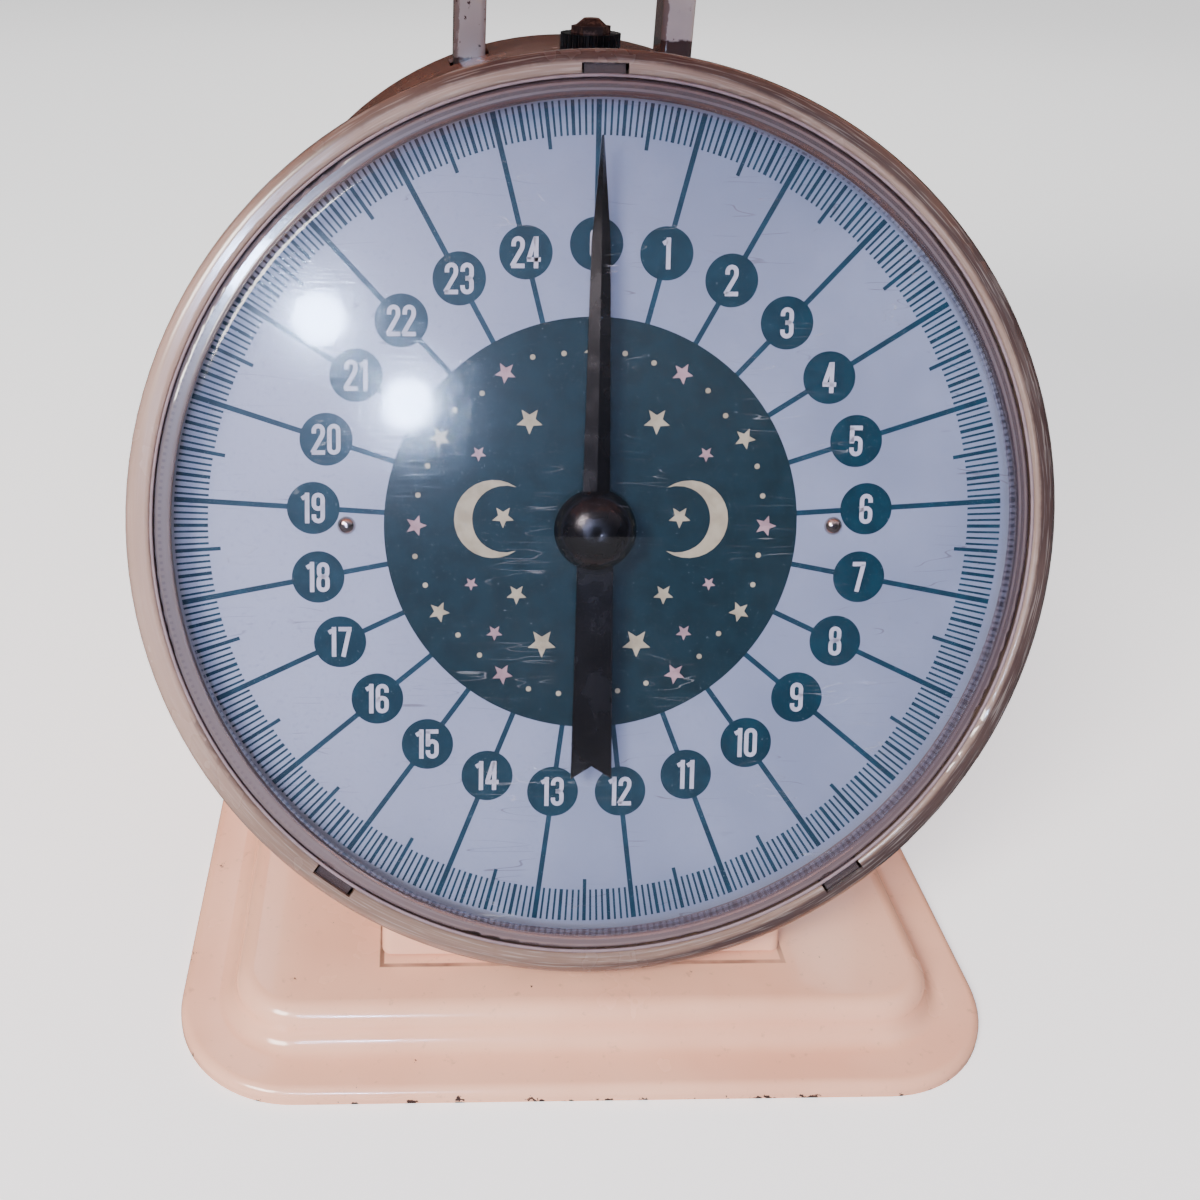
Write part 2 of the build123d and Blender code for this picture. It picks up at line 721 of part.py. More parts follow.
# Bushes of the pointer shaft, one in the dish and one in the bracket
shaft_back = bracket_plate - bracket_sheet - 4.0
front_bush_steps = [
    (pan_back - 6.0, pan_floor, bush_radius),
    (pan_floor, pan_floor + dial_rim - dial_sheet - fit_gap, bush_flange_radius),
]
rear_bush_steps = [
    (bracket_plate - 1.0, bracket_plate + bracket_sheet, bush_radius),
    (bracket_plate + bracket_sheet, bracket_plate + bracket_sheet + 1.0, bush_flange_radius),
]
bore = turned(dial_plane, [(shaft_back, pointer_height, shaft_radius + running_gap)])

with BuildPart() as front_bush:
    add(turned(dial_plane, front_bush_steps))
    add(bore, mode=Mode.SUBTRACT)
front_bush.part.label = "front_bush"
export_step(front_bush.part, "parts/front_bush.step")

with BuildPart() as rear_bush:
    add(turned(dial_plane, rear_bush_steps))
    add(bore, mode=Mode.SUBTRACT)
rear_bush.part.label = "rear_bush"
export_step(rear_bush.part, "parts/rear_bush.step")

# Stud that keeps the rack against the pinion
guide_head = rack_depth + rack_thickness / 2 + seat_gap
guide_steps = [
    (bracket_plate - 1.0, bracket_plate + bracket_sheet, shaft_radius),
    (bracket_plate + bracket_sheet, guide_head, guide_radius),
    (guide_head, guide_head + 1.0, guide_head_radius),
]
with BuildPart() as rack_guide:
    add(turned(dial_spot(guide_x, 0, 0), guide_steps))
rack_guide.part.label = "rack_guide"
export_step(rack_guide.part, "parts/rack_guide.step")

# Screws of the movement bracket
bracket_fasteners = [
    fastener(
        dial_spot(side * bracket_screw_x, 0, pan_floor),
        screw_head,
        dial_rim - dial_sheet - fit_gap,
        screw_radius,
        pan_sheet + bracket_sheet,
        screw_head,
        nut_height,
    )
    for side in (-1, 1)
]
with BuildPart() as bracket_screws:
    add(bracket_fasteners)
bracket_screws.part.label = "bracket_screws"
export_step(bracket_screws.part, "parts/bracket_screws.step")

# Pins of the guide levers: on the chassis, and on the posts
arm_inside = chassis_inside - fork_gap * 3 - lever_sheet
chassis_pins = [
    fastener(
        side_spot(side, chassis_y, pivot_z, chassis_width / 2),
        2 * lever_pin_radius,
        1.0,
        lever_pin_radius,
        chassis_width / 2 - arm_inside + fork_gap,
        lever_pin_radius + 1.0,
        1.0,
    )
    for side in (-1, 1)
    for pivot_z in (lower_pivot_z, upper_pivot_z)
]
with BuildPart() as lever_pins:
    add(chassis_pins)
lever_pins.part.label = "lever_pins"
export_step(lever_pins.part, "parts/lever_pins.step")

pin_step = [(-post_width - fork_gap, arm_inside + lever_sheet + fork_gap - post_outer, lever_pin_radius)]
with BuildPart() as post_pins:
    for side in (-1, 1):
        for pin_z in (lower_pin_z, upper_pin_z):
            add(turned(side_spot(side, post_pin_y, pin_z, post_outer), pin_step))
post_pins.part.label = "post_pins"
export_step(post_pins.part, "parts/post_pins.step")

upper_lever = BuildPart()
with upper_lever:
    add(lever_piece(upper_pivot_z))
upper_lever.part.label = "upper_lever"
export_step(upper_lever.part, "parts/upper_lever.step")

with BuildPart() as lower_lever:
    add(lever_piece(lower_pivot_z))
lower_lever.part.label = "lower_lever"
export_step(lower_lever.part, "parts/lower_lever.step")

# Posts
with BuildPart() as post_left:
    add(post_piece(-1))
post_left.part.label = "post_left"
export_step(post_left.part, "parts/post_left.step")

with BuildPart() as post_right:
    add(post_piece(1))
post_right.part.label = "post_right"
export_step(post_right.part, "parts/post_right.step")

# Carriage: a plate between the posts with spring ears and a forked tongue for the rack
post_inner = post_outer - post_width
carriage_rear = post_front + post_depth + post_sheet
fork_inner = rack_line + gear_dedendum - fork_gap
fork_outer = rack_line + gear_dedendum + rack_width + fork_gap
rack_pin_place = dial_plane.from_local_coords((0, -rack_foot, rack_depth))
slot_run = rack_travel * sin(tilt)
slot_play = 0.4

with BuildPart() as carriage_plate:
    with BuildSketch(Plane.XY.offset(carriage_z)):
        with Locations((0, (carriage_front + post_front - fork_gap) / 2)):
            Rectangle(2 * carriage_half, post_front - fork_gap - carriage_front)
        with Locations((0, (carriage_front + carriage_rear) / 2)):
            Rectangle(2 * post_inner, carriage_rear - carriage_front)
        fillet(vertices(), 1.5)
        with Locations((0, post_front - carriage_ear / 2)):
            RectangleRounded(1.2 * carriage_half, carriage_ear, 3, mode=Mode.SUBTRACT)
    extrude(amount=carriage_sheet)
    for side in (-1, 1):
        ear_start = side * (post_inner - carriage_sheet / 2) - carriage_sheet / 2
        with BuildSketch(Plane(origin=(ear_start, post_pin_y, carriage_z), x_dir=(0, 1, 0), z_dir=(1, 0, 0))):
            with Locations((0, carriage_ear / 2)):
                RectangleRounded(post_depth - 2, carriage_ear, 2)
            rivet_up = rivet_z - carriage_z
            with Locations((carriage_rivet_gap / 2, rivet_up), (-carriage_rivet_gap / 2, rivet_up)):
                Circle(carriage_rivet_radius + fit_gap, mode=Mode.SUBTRACT)
        extrude(amount=carriage_sheet)
        with BuildSketch(Plane.XZ.offset(-chassis_y)):
            with Locations((side * spring_x, carriage_z + ear_height / 2)):
                RectangleRounded(ear_width, ear_height, 2)
            with Locations((side * spring_x, lower_ear_z)):
                Circle(spring_wire + 0.4, mode=Mode.SUBTRACT)
        extrude(amount=ear_sheet / 2, both=True)
    with BuildSketch(Plane.XY.offset(carriage_z)):
        with Locations(((fork_inner + fork_outer) / 2, carriage_front + fork_gap - tongue_length / 2)):
            Rectangle(fork_outer - fork_inner + 2 * tongue_sheet, tongue_length)
    extrude(amount=tongue_sheet)
    for start in (fork_inner - tongue_sheet, fork_outer):
        with BuildSketch(Plane(origin=(start, 0, carriage_z), x_dir=(0, 1, 0), z_dir=(1, 0, 0))):
            with Locations((carriage_front + fork_gap - tongue_length + tongue_height, tongue_height / 2)):
                Rectangle(2 * tongue_height, tongue_height)
            fillet(vertices().group_by(Axis.Y)[-1], 3)
            with Locations((rack_pin_place.Y - slot_run / 2, rack_pin_place.Z - carriage_z)):
                SlotCenterToCenter(
                    slot_run + 2 * slot_play, 2 * rack_pin_radius + 2 * fit_gap, mode=Mode.SUBTRACT
                )
        extrude(amount=tongue_sheet)
carriage_plate.part.label = "carriage_plate"
export_step(carriage_plate.part, "parts/carriage_plate.step")

# Rivets through the posts and the ears of the carriage
carriage_grip = post_sheet + carriage_sheet
with BuildPart() as carriage_rivets:
    for side in (-1, 1):
        for y in (post_pin_y - carriage_rivet_gap / 2, post_pin_y + carriage_rivet_gap / 2):
            place = side_spot(side, y, rivet_z, post_inner + post_sheet)
            add(fastener(place, 1.8, 0.9, carriage_rivet_radius, carriage_grip, 1.8, 0.9))
carriage_rivets.part.label = "carriage_rivets"
export_step(carriage_rivets.part, "parts/carriage_rivets.step")

# Rack: a toothed bar beside the shaft, parallel to the dial, with a pin across its foot
tooth_half = tooth_pitch / 4 - gear_backlash / 2
rack_tip_half = tooth_half - gear_addendum * tan(pressure_angle)
rack_root_half = tooth_half + gear_dedendum * tan(pressure_angle)
rack_root = rack_line + gear_dedendum
rack_back = rack_root + rack_width
rack_head = (rack_tooth_count - 2.5) * tooth_pitch + rack_head_margin
tooth_places = [(rack_line, (tooth - 2) * tooth_pitch) for tooth in range(rack_tooth_count)]

with BuildPart() as rack:
    with BuildSketch(dial_plane.offset(rack_depth - rack_thickness / 2)):
        with Locations(((rack_root + rack_back) / 2, (rack_head - rack_foot - rack_head_margin) / 2)):
            Rectangle(rack_width, rack_head + rack_foot + rack_head_margin)
        with Locations(*tooth_places):
            Polygon(
                (-gear_addendum, rack_tip_half),
                (-gear_addendum, -rack_tip_half),
                (gear_dedendum + fit_gap, -rack_root_half),
                (gear_dedendum + fit_gap, rack_root_half),
                align=None,
            )
    extrude(amount=rack_thickness)
    with BuildSketch(Plane(origin=rack_pin_place, x_dir=(0, 1, 0), z_dir=(1, 0, 0))):
        Circle(rack_pin_radius)
    extrude(amount=2 * rack_back, mode=Mode.SUBTRACT)
rack.part.label = "rack"
export_step(rack.part, "parts/rack.step")

rack_pin_plane = Plane(origin=rack_pin_place, x_dir=(0, 1, 0), z_dir=(1, 0, 0))
with BuildPart() as rack_pin:
    with BuildSketch(rack_pin_plane.offset(fork_inner - tongue_sheet)):
        Circle(rack_pin_radius)
    extrude(amount=fork_outer - fork_inner + 2 * tongue_sheet)
rack_pin.part.label = "rack_pin"
export_step(rack_pin.part, "parts/rack_pin.step")

# Pinion, shaft and pointer
pinion_root = pitch_radius - gear_dedendum
pinion_tip = pitch_radius + gear_addendum
pinion_low = rack_depth - pinion_width / 2
root_half = tooth_half + gear_dedendum * tan(pressure_angle)
tip_half = tooth_half - gear_addendum * tan(1.6 * pressure_angle)

with BuildPart() as pinion:
    with BuildSketch(dial_plane.offset(pinion_low)):
        Circle(pinion_root)
        with PolarLocations(0, pinion_teeth, start_angle=180 / pinion_teeth):
            Polygon(
                (pinion_root - fit_gap, root_half),
                (pinion_root - fit_gap, -root_half),
                (pitch_radius, -tooth_half),
                (pinion_tip, -tip_half),
                (pinion_tip, tip_half),
                (pitch_radius, tooth_half),
                align=None,
            )
        Circle(shaft_radius, mode=Mode.SUBTRACT)
    extrude(amount=pinion_width)
pinion.part.label = "pinion"
export_step(pinion.part, "parts/pinion.step")

shaft_steps = [
    (shaft_back, pointer_height + pointer_boss_radius, shaft_radius),
    (bracket_plate - 1.0 - seat_gap - 1.2, bracket_plate - 1.0 - seat_gap, shaft_radius + 1.2),
    (pinion_low - 1.2, pinion_low, shaft_radius + 1.2),
]
with BuildPart() as pointer_shaft:
    add(turned(dial_plane, shaft_steps))
pointer_shaft.part.label = "pointer_shaft"
export_step(pointer_shaft.part, "parts/pointer_shaft.step")

blade_stations = [(pointer_hub_radius - 1, 6.0), (46.0, 4.8), (63.6, 4.1), (pointer_tip, 0.5)]
tail_wide = 4.65
tail_narrow = 4.0
tail_sheet = 1.3

with BuildPart() as pointer:
    for reach, width in blade_stations:
        across = Plane(origin=dial_origin + dial_up * reach, x_dir=(1, 0, 0), z_dir=dial_up * -1)
        with BuildSketch(across):
            Polygon(
                (-width / 2, pointer_height),
                (width / 2, pointer_height),
                (width / 2, pointer_height + pointer_edge),
                (0, pointer_height + pointer_ridge),
                (-width / 2, pointer_height + pointer_edge),
                align=None,
            )
    loft(ruled=True)
    with BuildSketch(dial_plane.offset(pointer_height)):
        Polygon(
            (-tail_narrow, -pointer_hub_radius + 2),
            (-tail_wide, -pointer_tail),
            (0, pointer_notch - pointer_tail),
            (tail_wide, -pointer_tail),
            (tail_narrow, -pointer_hub_radius + 2),
            align=None,
        )
    tail = extrude(amount=tail_sheet)
    chamfer(tail.faces().sort_by(dial_axis)[-1].edges(), 0.3)
    with BuildSketch(dial_section):
        with BuildLine():
            Polyline(
                (0, pointer_boss_gap),
                (pointer_boss_radius, pointer_boss_gap),
                (pointer_boss_radius, pointer_height - 1),
                (pointer_hub_radius - 0.4, pointer_height - 1),
                (pointer_hub_radius, pointer_height),
            )
            ThreePointArc(
                (pointer_hub_radius, pointer_height),
                (pointer_hub_radius * 0.72, pointer_height + (pointer_hub_top - pointer_height) * 0.74),
                (0, pointer_hub_top),
            )
            Line((0, pointer_hub_top), (0, pointer_boss_gap))
        make_face()
    revolve(axis=dial_axis)
    with BuildSketch(dial_plane.offset(shaft_back)):
        Circle(shaft_radius)
    extrude(amount=pointer_height + pointer_boss_radius - shaft_back, mode=Mode.SUBTRACT)
pointer.part.label = "pointer"
export_step(pointer.part, "parts/pointer.step")

# Springs
with BuildPart() as spring_left:
    add(spring_piece(-1))
spring_left.part.label = "spring_left"
export_step(spring_left.part, "parts/spring_left.step")

with BuildPart() as spring_right:
    add(spring_piece(1))
spring_right.part.label = "spring_right"
export_step(spring_right.part, "parts/spring_right.step")

# Bridge from which both springs hang, kept from turning by the chassis
with BuildPart() as spring_bridge:
    with BuildSketch(Plane.XY.offset(bridge_top - bridge_sheet)):
        with Locations((0, chassis_y)):
            Rectangle(2 * (chassis_inside - seat_gap), bridge_depth)
    extrude(amount=bridge_sheet)
    with BuildSketch(Plane.XY.offset(bridge_top - bridge_sheet - bridge_boss_height)):
        with Locations((0, chassis_y)):
            Circle(bridge_boss)
    extrude(amount=bridge_boss_height)
    with Locations((0, chassis_y, bridge_top)):
        Hole(adjuster_radius + running_gap, depth=bridge_sheet + bridge_boss_height)
    with BuildSketch(Plane.XZ.offset(-chassis_y)):
        for side in (-1, 1):
            with Locations((side * spring_x, bridge_top - bridge_sheet - ear_height / 2 + 1)):
                RectangleRounded(ear_width, ear_height + 2, 2)
            with Locations((side * spring_x, upper_ear_z)):
                Circle(spring_wire + 0.4, mode=Mode.SUBTRACT)
    extrude(amount=ear_sheet / 2, both=True)
spring_bridge.part.label = "spring_bridge"
export_step(spring_bridge.part, "parts/spring_bridge.step")

# Zero knob on its screw, which hangs by a collar on the chassis
adjuster_place = Plane(origin=(0, chassis_y, 0), x_dir=(1, 0, 0), z_dir=(0, 0, 1))
knob_z = drum_top + knob_gap
adjuster_low = bridge_top - bridge_sheet - bridge_boss_height - 2
adjuster_steps = [
    (adjuster_low, knob_z + knob_height + 1.2, adjuster_radius),
    (chassis_top + running_gap, chassis_top + adjuster_collar_height, adjuster_collar),
]
with BuildPart() as adjusting_screw:
    add(turned(adjuster_place, adjuster_steps))
adjusting_screw.part.label = "adjusting_screw"
export_step(adjusting_screw.part, "parts/adjusting_screw.step")

with BuildPart() as zero_knob:
    with BuildSketch(adjuster_place.offset(knob_z)):
        Circle(knob_radius)
        with PolarLocations(knob_radius, knob_grooves):
            Circle(0.4, mode=Mode.SUBTRACT)
        Circle(adjuster_radius, mode=Mode.SUBTRACT)
    extrude(amount=knob_height)
zero_knob.part.label = "zero_knob"
export_step(zero_knob.part, "parts/zero_knob.step")

with BuildPart() as knob_cap_nut:
    with BuildSketch(adjuster_place.offset(knob_z + knob_height)):
        RegularPolygon(cap_radius, 6)
    extrude(amount=1.6)
    with BuildSketch(adjuster_place.offset(knob_z + knob_height + 1.6)):
        Circle(cap_radius * 0.8)
    extrude(amount=cap_height - 1.6, taper=50)
    with BuildSketch(adjuster_place.offset(knob_z + knob_height)):
        Circle(adjuster_radius)
    extrude(amount=1.2, mode=Mode.SUBTRACT)
knob_cap_nut.part.label = "knob_cap_nut"
export_step(knob_cap_nut.part, "parts/knob_cap_nut.step")

# Bearers on the posts, riveted through them
with BuildPart() as bearer_left:
    add(bearer_piece(-1))
bearer_left.part.label = "bearer_left"
export_step(bearer_left.part, "parts/bearer_left.step")

with BuildPart() as bearer_right:
    add(bearer_piece(1))
bearer_right.part.label = "bearer_right"
export_step(bearer_right.part, "parts/bearer_right.step")

bearer_out = post_width / 2 + fit_gap + bearer_sheet
with BuildPart() as bearer_rivets:
    for side in (-1, 1):
        place = side_spot(side, post_pin_y, bearer_rivet_z, post_x + bearer_out)
        add(fastener(place, 3.0, 1.4, bearer_rivet_radius, 2 * bearer_out, 3.0, 1.4))
bearer_rivets.part.label = "bearer_rivets"
export_step(bearer_rivets.part, "parts/bearer_rivets.step")

# Straps across the bearers
pad_spots = [(side * pad_spacing / 2, y) for side in (-1, 1) for y in strap_y]
strap_rivet_spots = [(side * post_x, y) for side in (-1, 1) for y in strap_y]


def strap_piece(y):
    """Flat strip with rounded ends across both bearers, bored for its rivets and screws."""
    with BuildPart() as strap:
        with BuildSketch(Plane.XY.offset(strap_z)):
            with Locations((0, y)):
                RectangleRounded(strap_length, strap_width, strap_width / 2 - 1)
                with Locations((pad_spacing / 2, 0), (-pad_spacing / 2, 0), (post_x, 0), (-post_x, 0)):
                    Circle(screw_radius + fit_gap, mode=Mode.SUBTRACT)
        extrude(amount=strap_sheet)
    return strap.part


with BuildPart() as strap_front:
    add(strap_piece(strap_y[0]))
strap_front.part.label = "strap_front"
export_step(strap_front.part, "parts/strap_front.step")

with BuildPart() as strap_rear:
    add(strap_piece(strap_y[1]))
strap_rear.part.label = "strap_rear"
export_step(strap_rear.part, "parts/strap_rear.step")

strap_fasteners = [
    fastener(
        Plane(origin=(x, y, strap_z + strap_sheet), x_dir=(1, 0, 0), z_dir=(0, 0, 1)),
        screw_head,
        screw_head_height,
        screw_radius,
        strap_sheet + bearer_sheet,
        screw_head,
        screw_head_height,
    )
    for x, y in strap_rivet_spots
]
with BuildPart() as strap_rivets:
    add(strap_fasteners)
strap_rivets.part.label = "strap_rivets"
export_step(strap_rivets.part, "parts/strap_rivets.step")

# Rubber pads under the tray
with BuildPart() as tray_pads:
    with BuildSketch(Plane.XY.offset(strap_z + strap_sheet)):
        with Locations(*pad_spots):
            Circle(pad_radius)
            Circle(screw_radius + fit_gap, mode=Mode.SUBTRACT)
    extrude(amount=pad_height)
tray_pads.part.label = "tray_pads"
export_step(tray_pads.part, "parts/tray_pads.step")

# Tray with a rolled bead round its rim
bead_z = tray_z + tray_depth
with BuildPart() as tray:
    add(tray_form(0))
    add(tray_form(tray_sheet), mode=Mode.SUBTRACT)
    with BuildLine(Plane.XY.offset(bead_z)):
        front = Line((0, -tray_width / 2), (tray_length / 2 - tray_corner, -tray_width / 2))
        turn = JernArc(front @ 1, front % 1, tray_corner, 90)
        end = Line(turn @ 1, (tray_length / 2, tray_width / 2 - tray_corner))
        turn = JernArc(end @ 1, end % 1, tray_corner, 90)
        Line(turn @ 1, (0, tray_width / 2))
        mirror(about=Plane.YZ)
    with BuildSketch(Plane(origin=(0, -tray_width / 2, bead_z), x_dir=(0, 1, 0), z_dir=(1, 0, 0))):
        Circle(tray_bead)
    sweep()
tray.part.label = "tray"
export_step(tray.part, "parts/tray.step")

# Studs welded under the tray's floor, with their nuts under the straps
stud_length = pad_height + strap_sheet + nut_height + bearer_sheet
with BuildPart() as tray_studs:
    for x, y in pad_spots:
        place = Plane(origin=(x, y, tray_z), x_dir=(1, 0, 0), z_dir=(0, 0, -1))
        nut_start = pad_height + strap_sheet
        add(turned(place, [(0, stud_length, screw_radius), (nut_start, nut_start + nut_height, screw_head)]))
tray_studs.part.label = "tray_studs"
export_step(tray_studs.part, "parts/tray_studs.step")
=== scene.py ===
"""Looks of a nursery spring scale: enamel, printed dial, clear cover, pointer, knob and tray.

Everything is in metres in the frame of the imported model. Sizes in the dataclasses are millimetres,
and MM turns them into metres.
"""

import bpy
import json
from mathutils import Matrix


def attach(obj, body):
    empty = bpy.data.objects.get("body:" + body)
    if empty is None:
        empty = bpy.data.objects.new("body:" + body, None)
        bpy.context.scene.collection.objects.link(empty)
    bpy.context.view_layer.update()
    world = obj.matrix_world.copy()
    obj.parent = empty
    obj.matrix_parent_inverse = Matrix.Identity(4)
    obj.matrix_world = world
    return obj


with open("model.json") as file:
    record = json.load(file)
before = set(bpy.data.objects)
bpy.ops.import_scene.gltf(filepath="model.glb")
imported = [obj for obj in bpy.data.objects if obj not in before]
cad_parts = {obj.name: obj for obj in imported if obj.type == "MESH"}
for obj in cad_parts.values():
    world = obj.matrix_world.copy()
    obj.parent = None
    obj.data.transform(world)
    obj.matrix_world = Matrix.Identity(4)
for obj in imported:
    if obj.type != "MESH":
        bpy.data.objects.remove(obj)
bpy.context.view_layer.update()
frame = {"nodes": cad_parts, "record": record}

import json
import logging
import math
import random
from dataclasses import dataclass, field
from enum import Enum

import bmesh
import bpy
from mathutils import Matrix, Vector

log = logging.getLogger("nursery_scale")

MM = 0.001
QUARTER = math.pi / 2


class Slot(Enum):
    """Material slots of the record."""

    ENAMEL = "enamel"
    DIAL = "dial_enamel"
    CLEAR = "clear_acrylic"
    BLACK = "black_plastic"
    NICKEL = "nickel_steel"
    RUST = "rusted_steel"
    RUBBER = "rubber"


class Mark(Enum):
    """Kinds of graduation, with inner radius and width in millimetres."""

    OUNCE = (87.3, 0.5)
    QUARTER_POUND = (87.3, 0.8)
    HALF_POUND = (84.7, 0.85)
    POUND = (69.0, 1.2)


def linear(code: str, alpha: float = 1.0) -> tuple[float, float, float, float]:
    """Turns an sRGB hex colour into linear RGBA.

    Args:
        code: colour such as "#1B4F66".
        alpha: fourth value of the result.

    Returns:
        Four linear values for a colour socket.
    """
    values = [int(code[i : i + 2], 16) / 255 for i in (1, 3, 5)]
    red, green, blue = (v / 12.92 if v <= 0.04045 else ((v + 0.055) / 1.055) ** 2.4 for v in values)
    return red, green, blue, alpha


def add_node(
    tree: bpy.types.NodeTree,
    kind: str,
    settings: dict | None = None,
    inputs: dict | None = None,
) -> bpy.types.Node:
    """Adds a node, sets its properties, and fills or links its inputs.

    Args:
        tree: node tree that gets the node.
        kind: type name after "ShaderNode".
        settings: properties of the node by name.
        inputs: socket name or number to a plain value, or to the output socket that feeds it.

    Returns:
        The new node.
    """
    node = tree.nodes.new("ShaderNode" + kind)
    for name, value in (settings or {}).items():
        setattr(node, name, value)
    for key, value in (inputs or {}).items():
        if isinstance(value, bpy.types.NodeSocket):
            tree.links.new(value, node.inputs[key])
        else:
            node.inputs[key].default_value = value
    return node


class Finish:
    """A procedural material under construction, with short ways to its usual nodes."""

    def __init__(self, name: str) -> None:
        """Starts an empty material.

        Args:
            name: the material's name.
        """
        self.material = bpy.data.materials.new(name)
        self.material.use_nodes = True
        self.tree = self.material.node_tree
        self.tree.nodes.clear()
        self.place = add_node(self.tree, "TexCoord").outputs["Object"]

    def noise(self, size_mm: float, detail: float = 3.0, stretch: tuple = (1, 1, 1), turn: float = 0.0, **more) -> bpy.types.NodeSocket:
        """Noise whose features are size_mm across.

        Args:
            size_mm: width of a feature in millimetres.
            detail: octaves of the noise.
            stretch: how much longer features get along each axis.
            turn: turn of the pattern about Z, in radians.
            more: other inputs of the noise node.

        Returns:
            The noise's value, about 0.5 on average.
        """
        spread = tuple(1 / s for s in stretch)
        turned = add_node(self.tree, "Mapping", {}, {"Vector": self.place, "Rotation": (0.0, 0.0, turn), "Scale": spread})
        values = {"Vector": turned.outputs[0], "Scale": 1 / (size_mm * MM), "Detail": detail, **more}
        return add_node(self.tree, "TexNoise", {}, values).outputs[0]

    def swirl(self, dial: Matrix, size_mm: float, length: float) -> bpy.types.NodeSocket:
        """Noise drawn out round the dial's axis, as polishing and wiping leave it.

        Args:
            dial: place of the dial in metres.
            size_mm: width of a streak in millimetres.
            length: how much longer than wide a streak is, at the dial's rim.

        Returns:
            The noise's value, about 0.5 on average.
        """
        radius, angle = self.polar(dial)
        along = self.maths("MULTIPLY", angle, 100 * MM / length)
        where = add_node(self.tree, "CombineXYZ", {}, {"X": along, "Y": radius}).outputs[0]
        return add_node(self.tree, "TexNoise", {}, {"Vector": where, "Scale": 1 / (size_mm * MM), "Detail": 3.0}).outputs[0]

    def maths(self, operation: str, first: object, second: object = 0.0, third: object = 0.0) -> bpy.types.NodeSocket:
        """One Math node.

        Args:
            operation: the node's operation.
            first: first value or socket.
            second: second value or socket.
            third: third value or socket.

        Returns:
            The result's socket.
        """
        return add_node(self.tree, "Math", {"operation": operation}, {0: first, 1: second, 2: third}).outputs[0]

    def band(self, value: object, low: float, high: float, start: float = 0.0, end: float = 1.0) -> bpy.types.NodeSocket:
        """Value mapped smoothly from low..high to start..end, and held there outside.

        Args:
            value: socket to map.
            low: value that gives start.
            high: value that gives end.
            start: result at low.
            end: result at high.

        Returns:
            The mapped value's socket.
        """
        inputs = {"Value": value, "From Min": low, "From Max": high, "To Min": start, "To Max": end}
        return add_node(self.tree, "MapRange", {"interpolation_type": "SMOOTHSTEP"}, inputs).outputs["Result"]

    def blend(self, share: object, first: object, second: object) -> bpy.types.NodeSocket:
        """Mix of two colours.

        Args:
            share: how much of the second colour shows.
            first: first colour or socket.
            second: second colour or socket.

        Returns:
            The mixed colour's socket.
        """
        mix = add_node(self.tree, "Mix", {"data_type": "RGBA"}, {0: share, 6: first, 7: second})
        return mix.outputs[2]

    def bump(self, height: object, depth_mm: float, under: object | None = None) -> bpy.types.NodeSocket:
        """Relief from a height value.

        Args:
            height: socket from 0 to 1.
            depth_mm: how deep a step of 1 is, in millimetres.
            under: normal of a coarser relief.

        Returns:
            The normal's socket.
        """
        inputs = {"Height": height, "Distance": depth_mm * MM, "Strength": 1.0}
        if under is not None:
            inputs["Normal"] = under
        return add_node(self.tree, "Bump", {}, inputs).outputs[0]

    def axis(self, name: str) -> bpy.types.NodeSocket:
        """One object coordinate in metres, by the name X, Y or Z."""
        return add_node(self.tree, "SeparateXYZ", {}, {0: self.place}).outputs[name]

    def polar(self, dial: Matrix) -> tuple[bpy.types.NodeSocket, bpy.types.NodeSocket]:
        """Distance from the dial's axis and angle round it.

        Args:
            dial: place of the dial in metres.

        Returns:
            Sockets of the distance in metres and of the angle in radians, clockwise from the top.
        """
        back = dial.inverted()
        settings = {"Vector": self.place, "Location": back.translation, "Rotation": back.to_euler()}
        local = add_node(self.tree, "Mapping", {}, settings).outputs[0]
        flat = add_node(self.tree, "VectorMath", {"operation": "MULTIPLY"}, {0: local, 1: (1, 1, 0)}).outputs[0]
        radius = add_node(self.tree, "VectorMath", {"operation": "LENGTH"}, {0: flat}).outputs["Value"]
        parts = add_node(self.tree, "SeparateXYZ", {}, {0: local})
        return radius, self.maths("ARCTAN2", parts.outputs["X"], parts.outputs["Y"])

    def end(self, shader: bpy.types.NodeSocket) -> bpy.types.Material:
        """Joins the shader to the output and returns the material."""
        add_node(self.tree, "OutputMaterial", {}, {"Surface": shader})
        return self.material

    def principled(self, **inputs) -> bpy.types.NodeSocket:
        """A Principled shader; underscores in input names stand for spaces."""
        named = {key.replace("_", " "): value for key, value in inputs.items()}
        return add_node(self.tree, "BsdfPrincipled", {}, named).outputs[0]


@dataclass(frozen=True)
class Stain:
    """Painted light and shade: a colour that takes over between two places along an object axis, in millimetres."""

    axis: str
    clear_mm: float
    full_mm: float
    colour: str
    share: float = 1.0


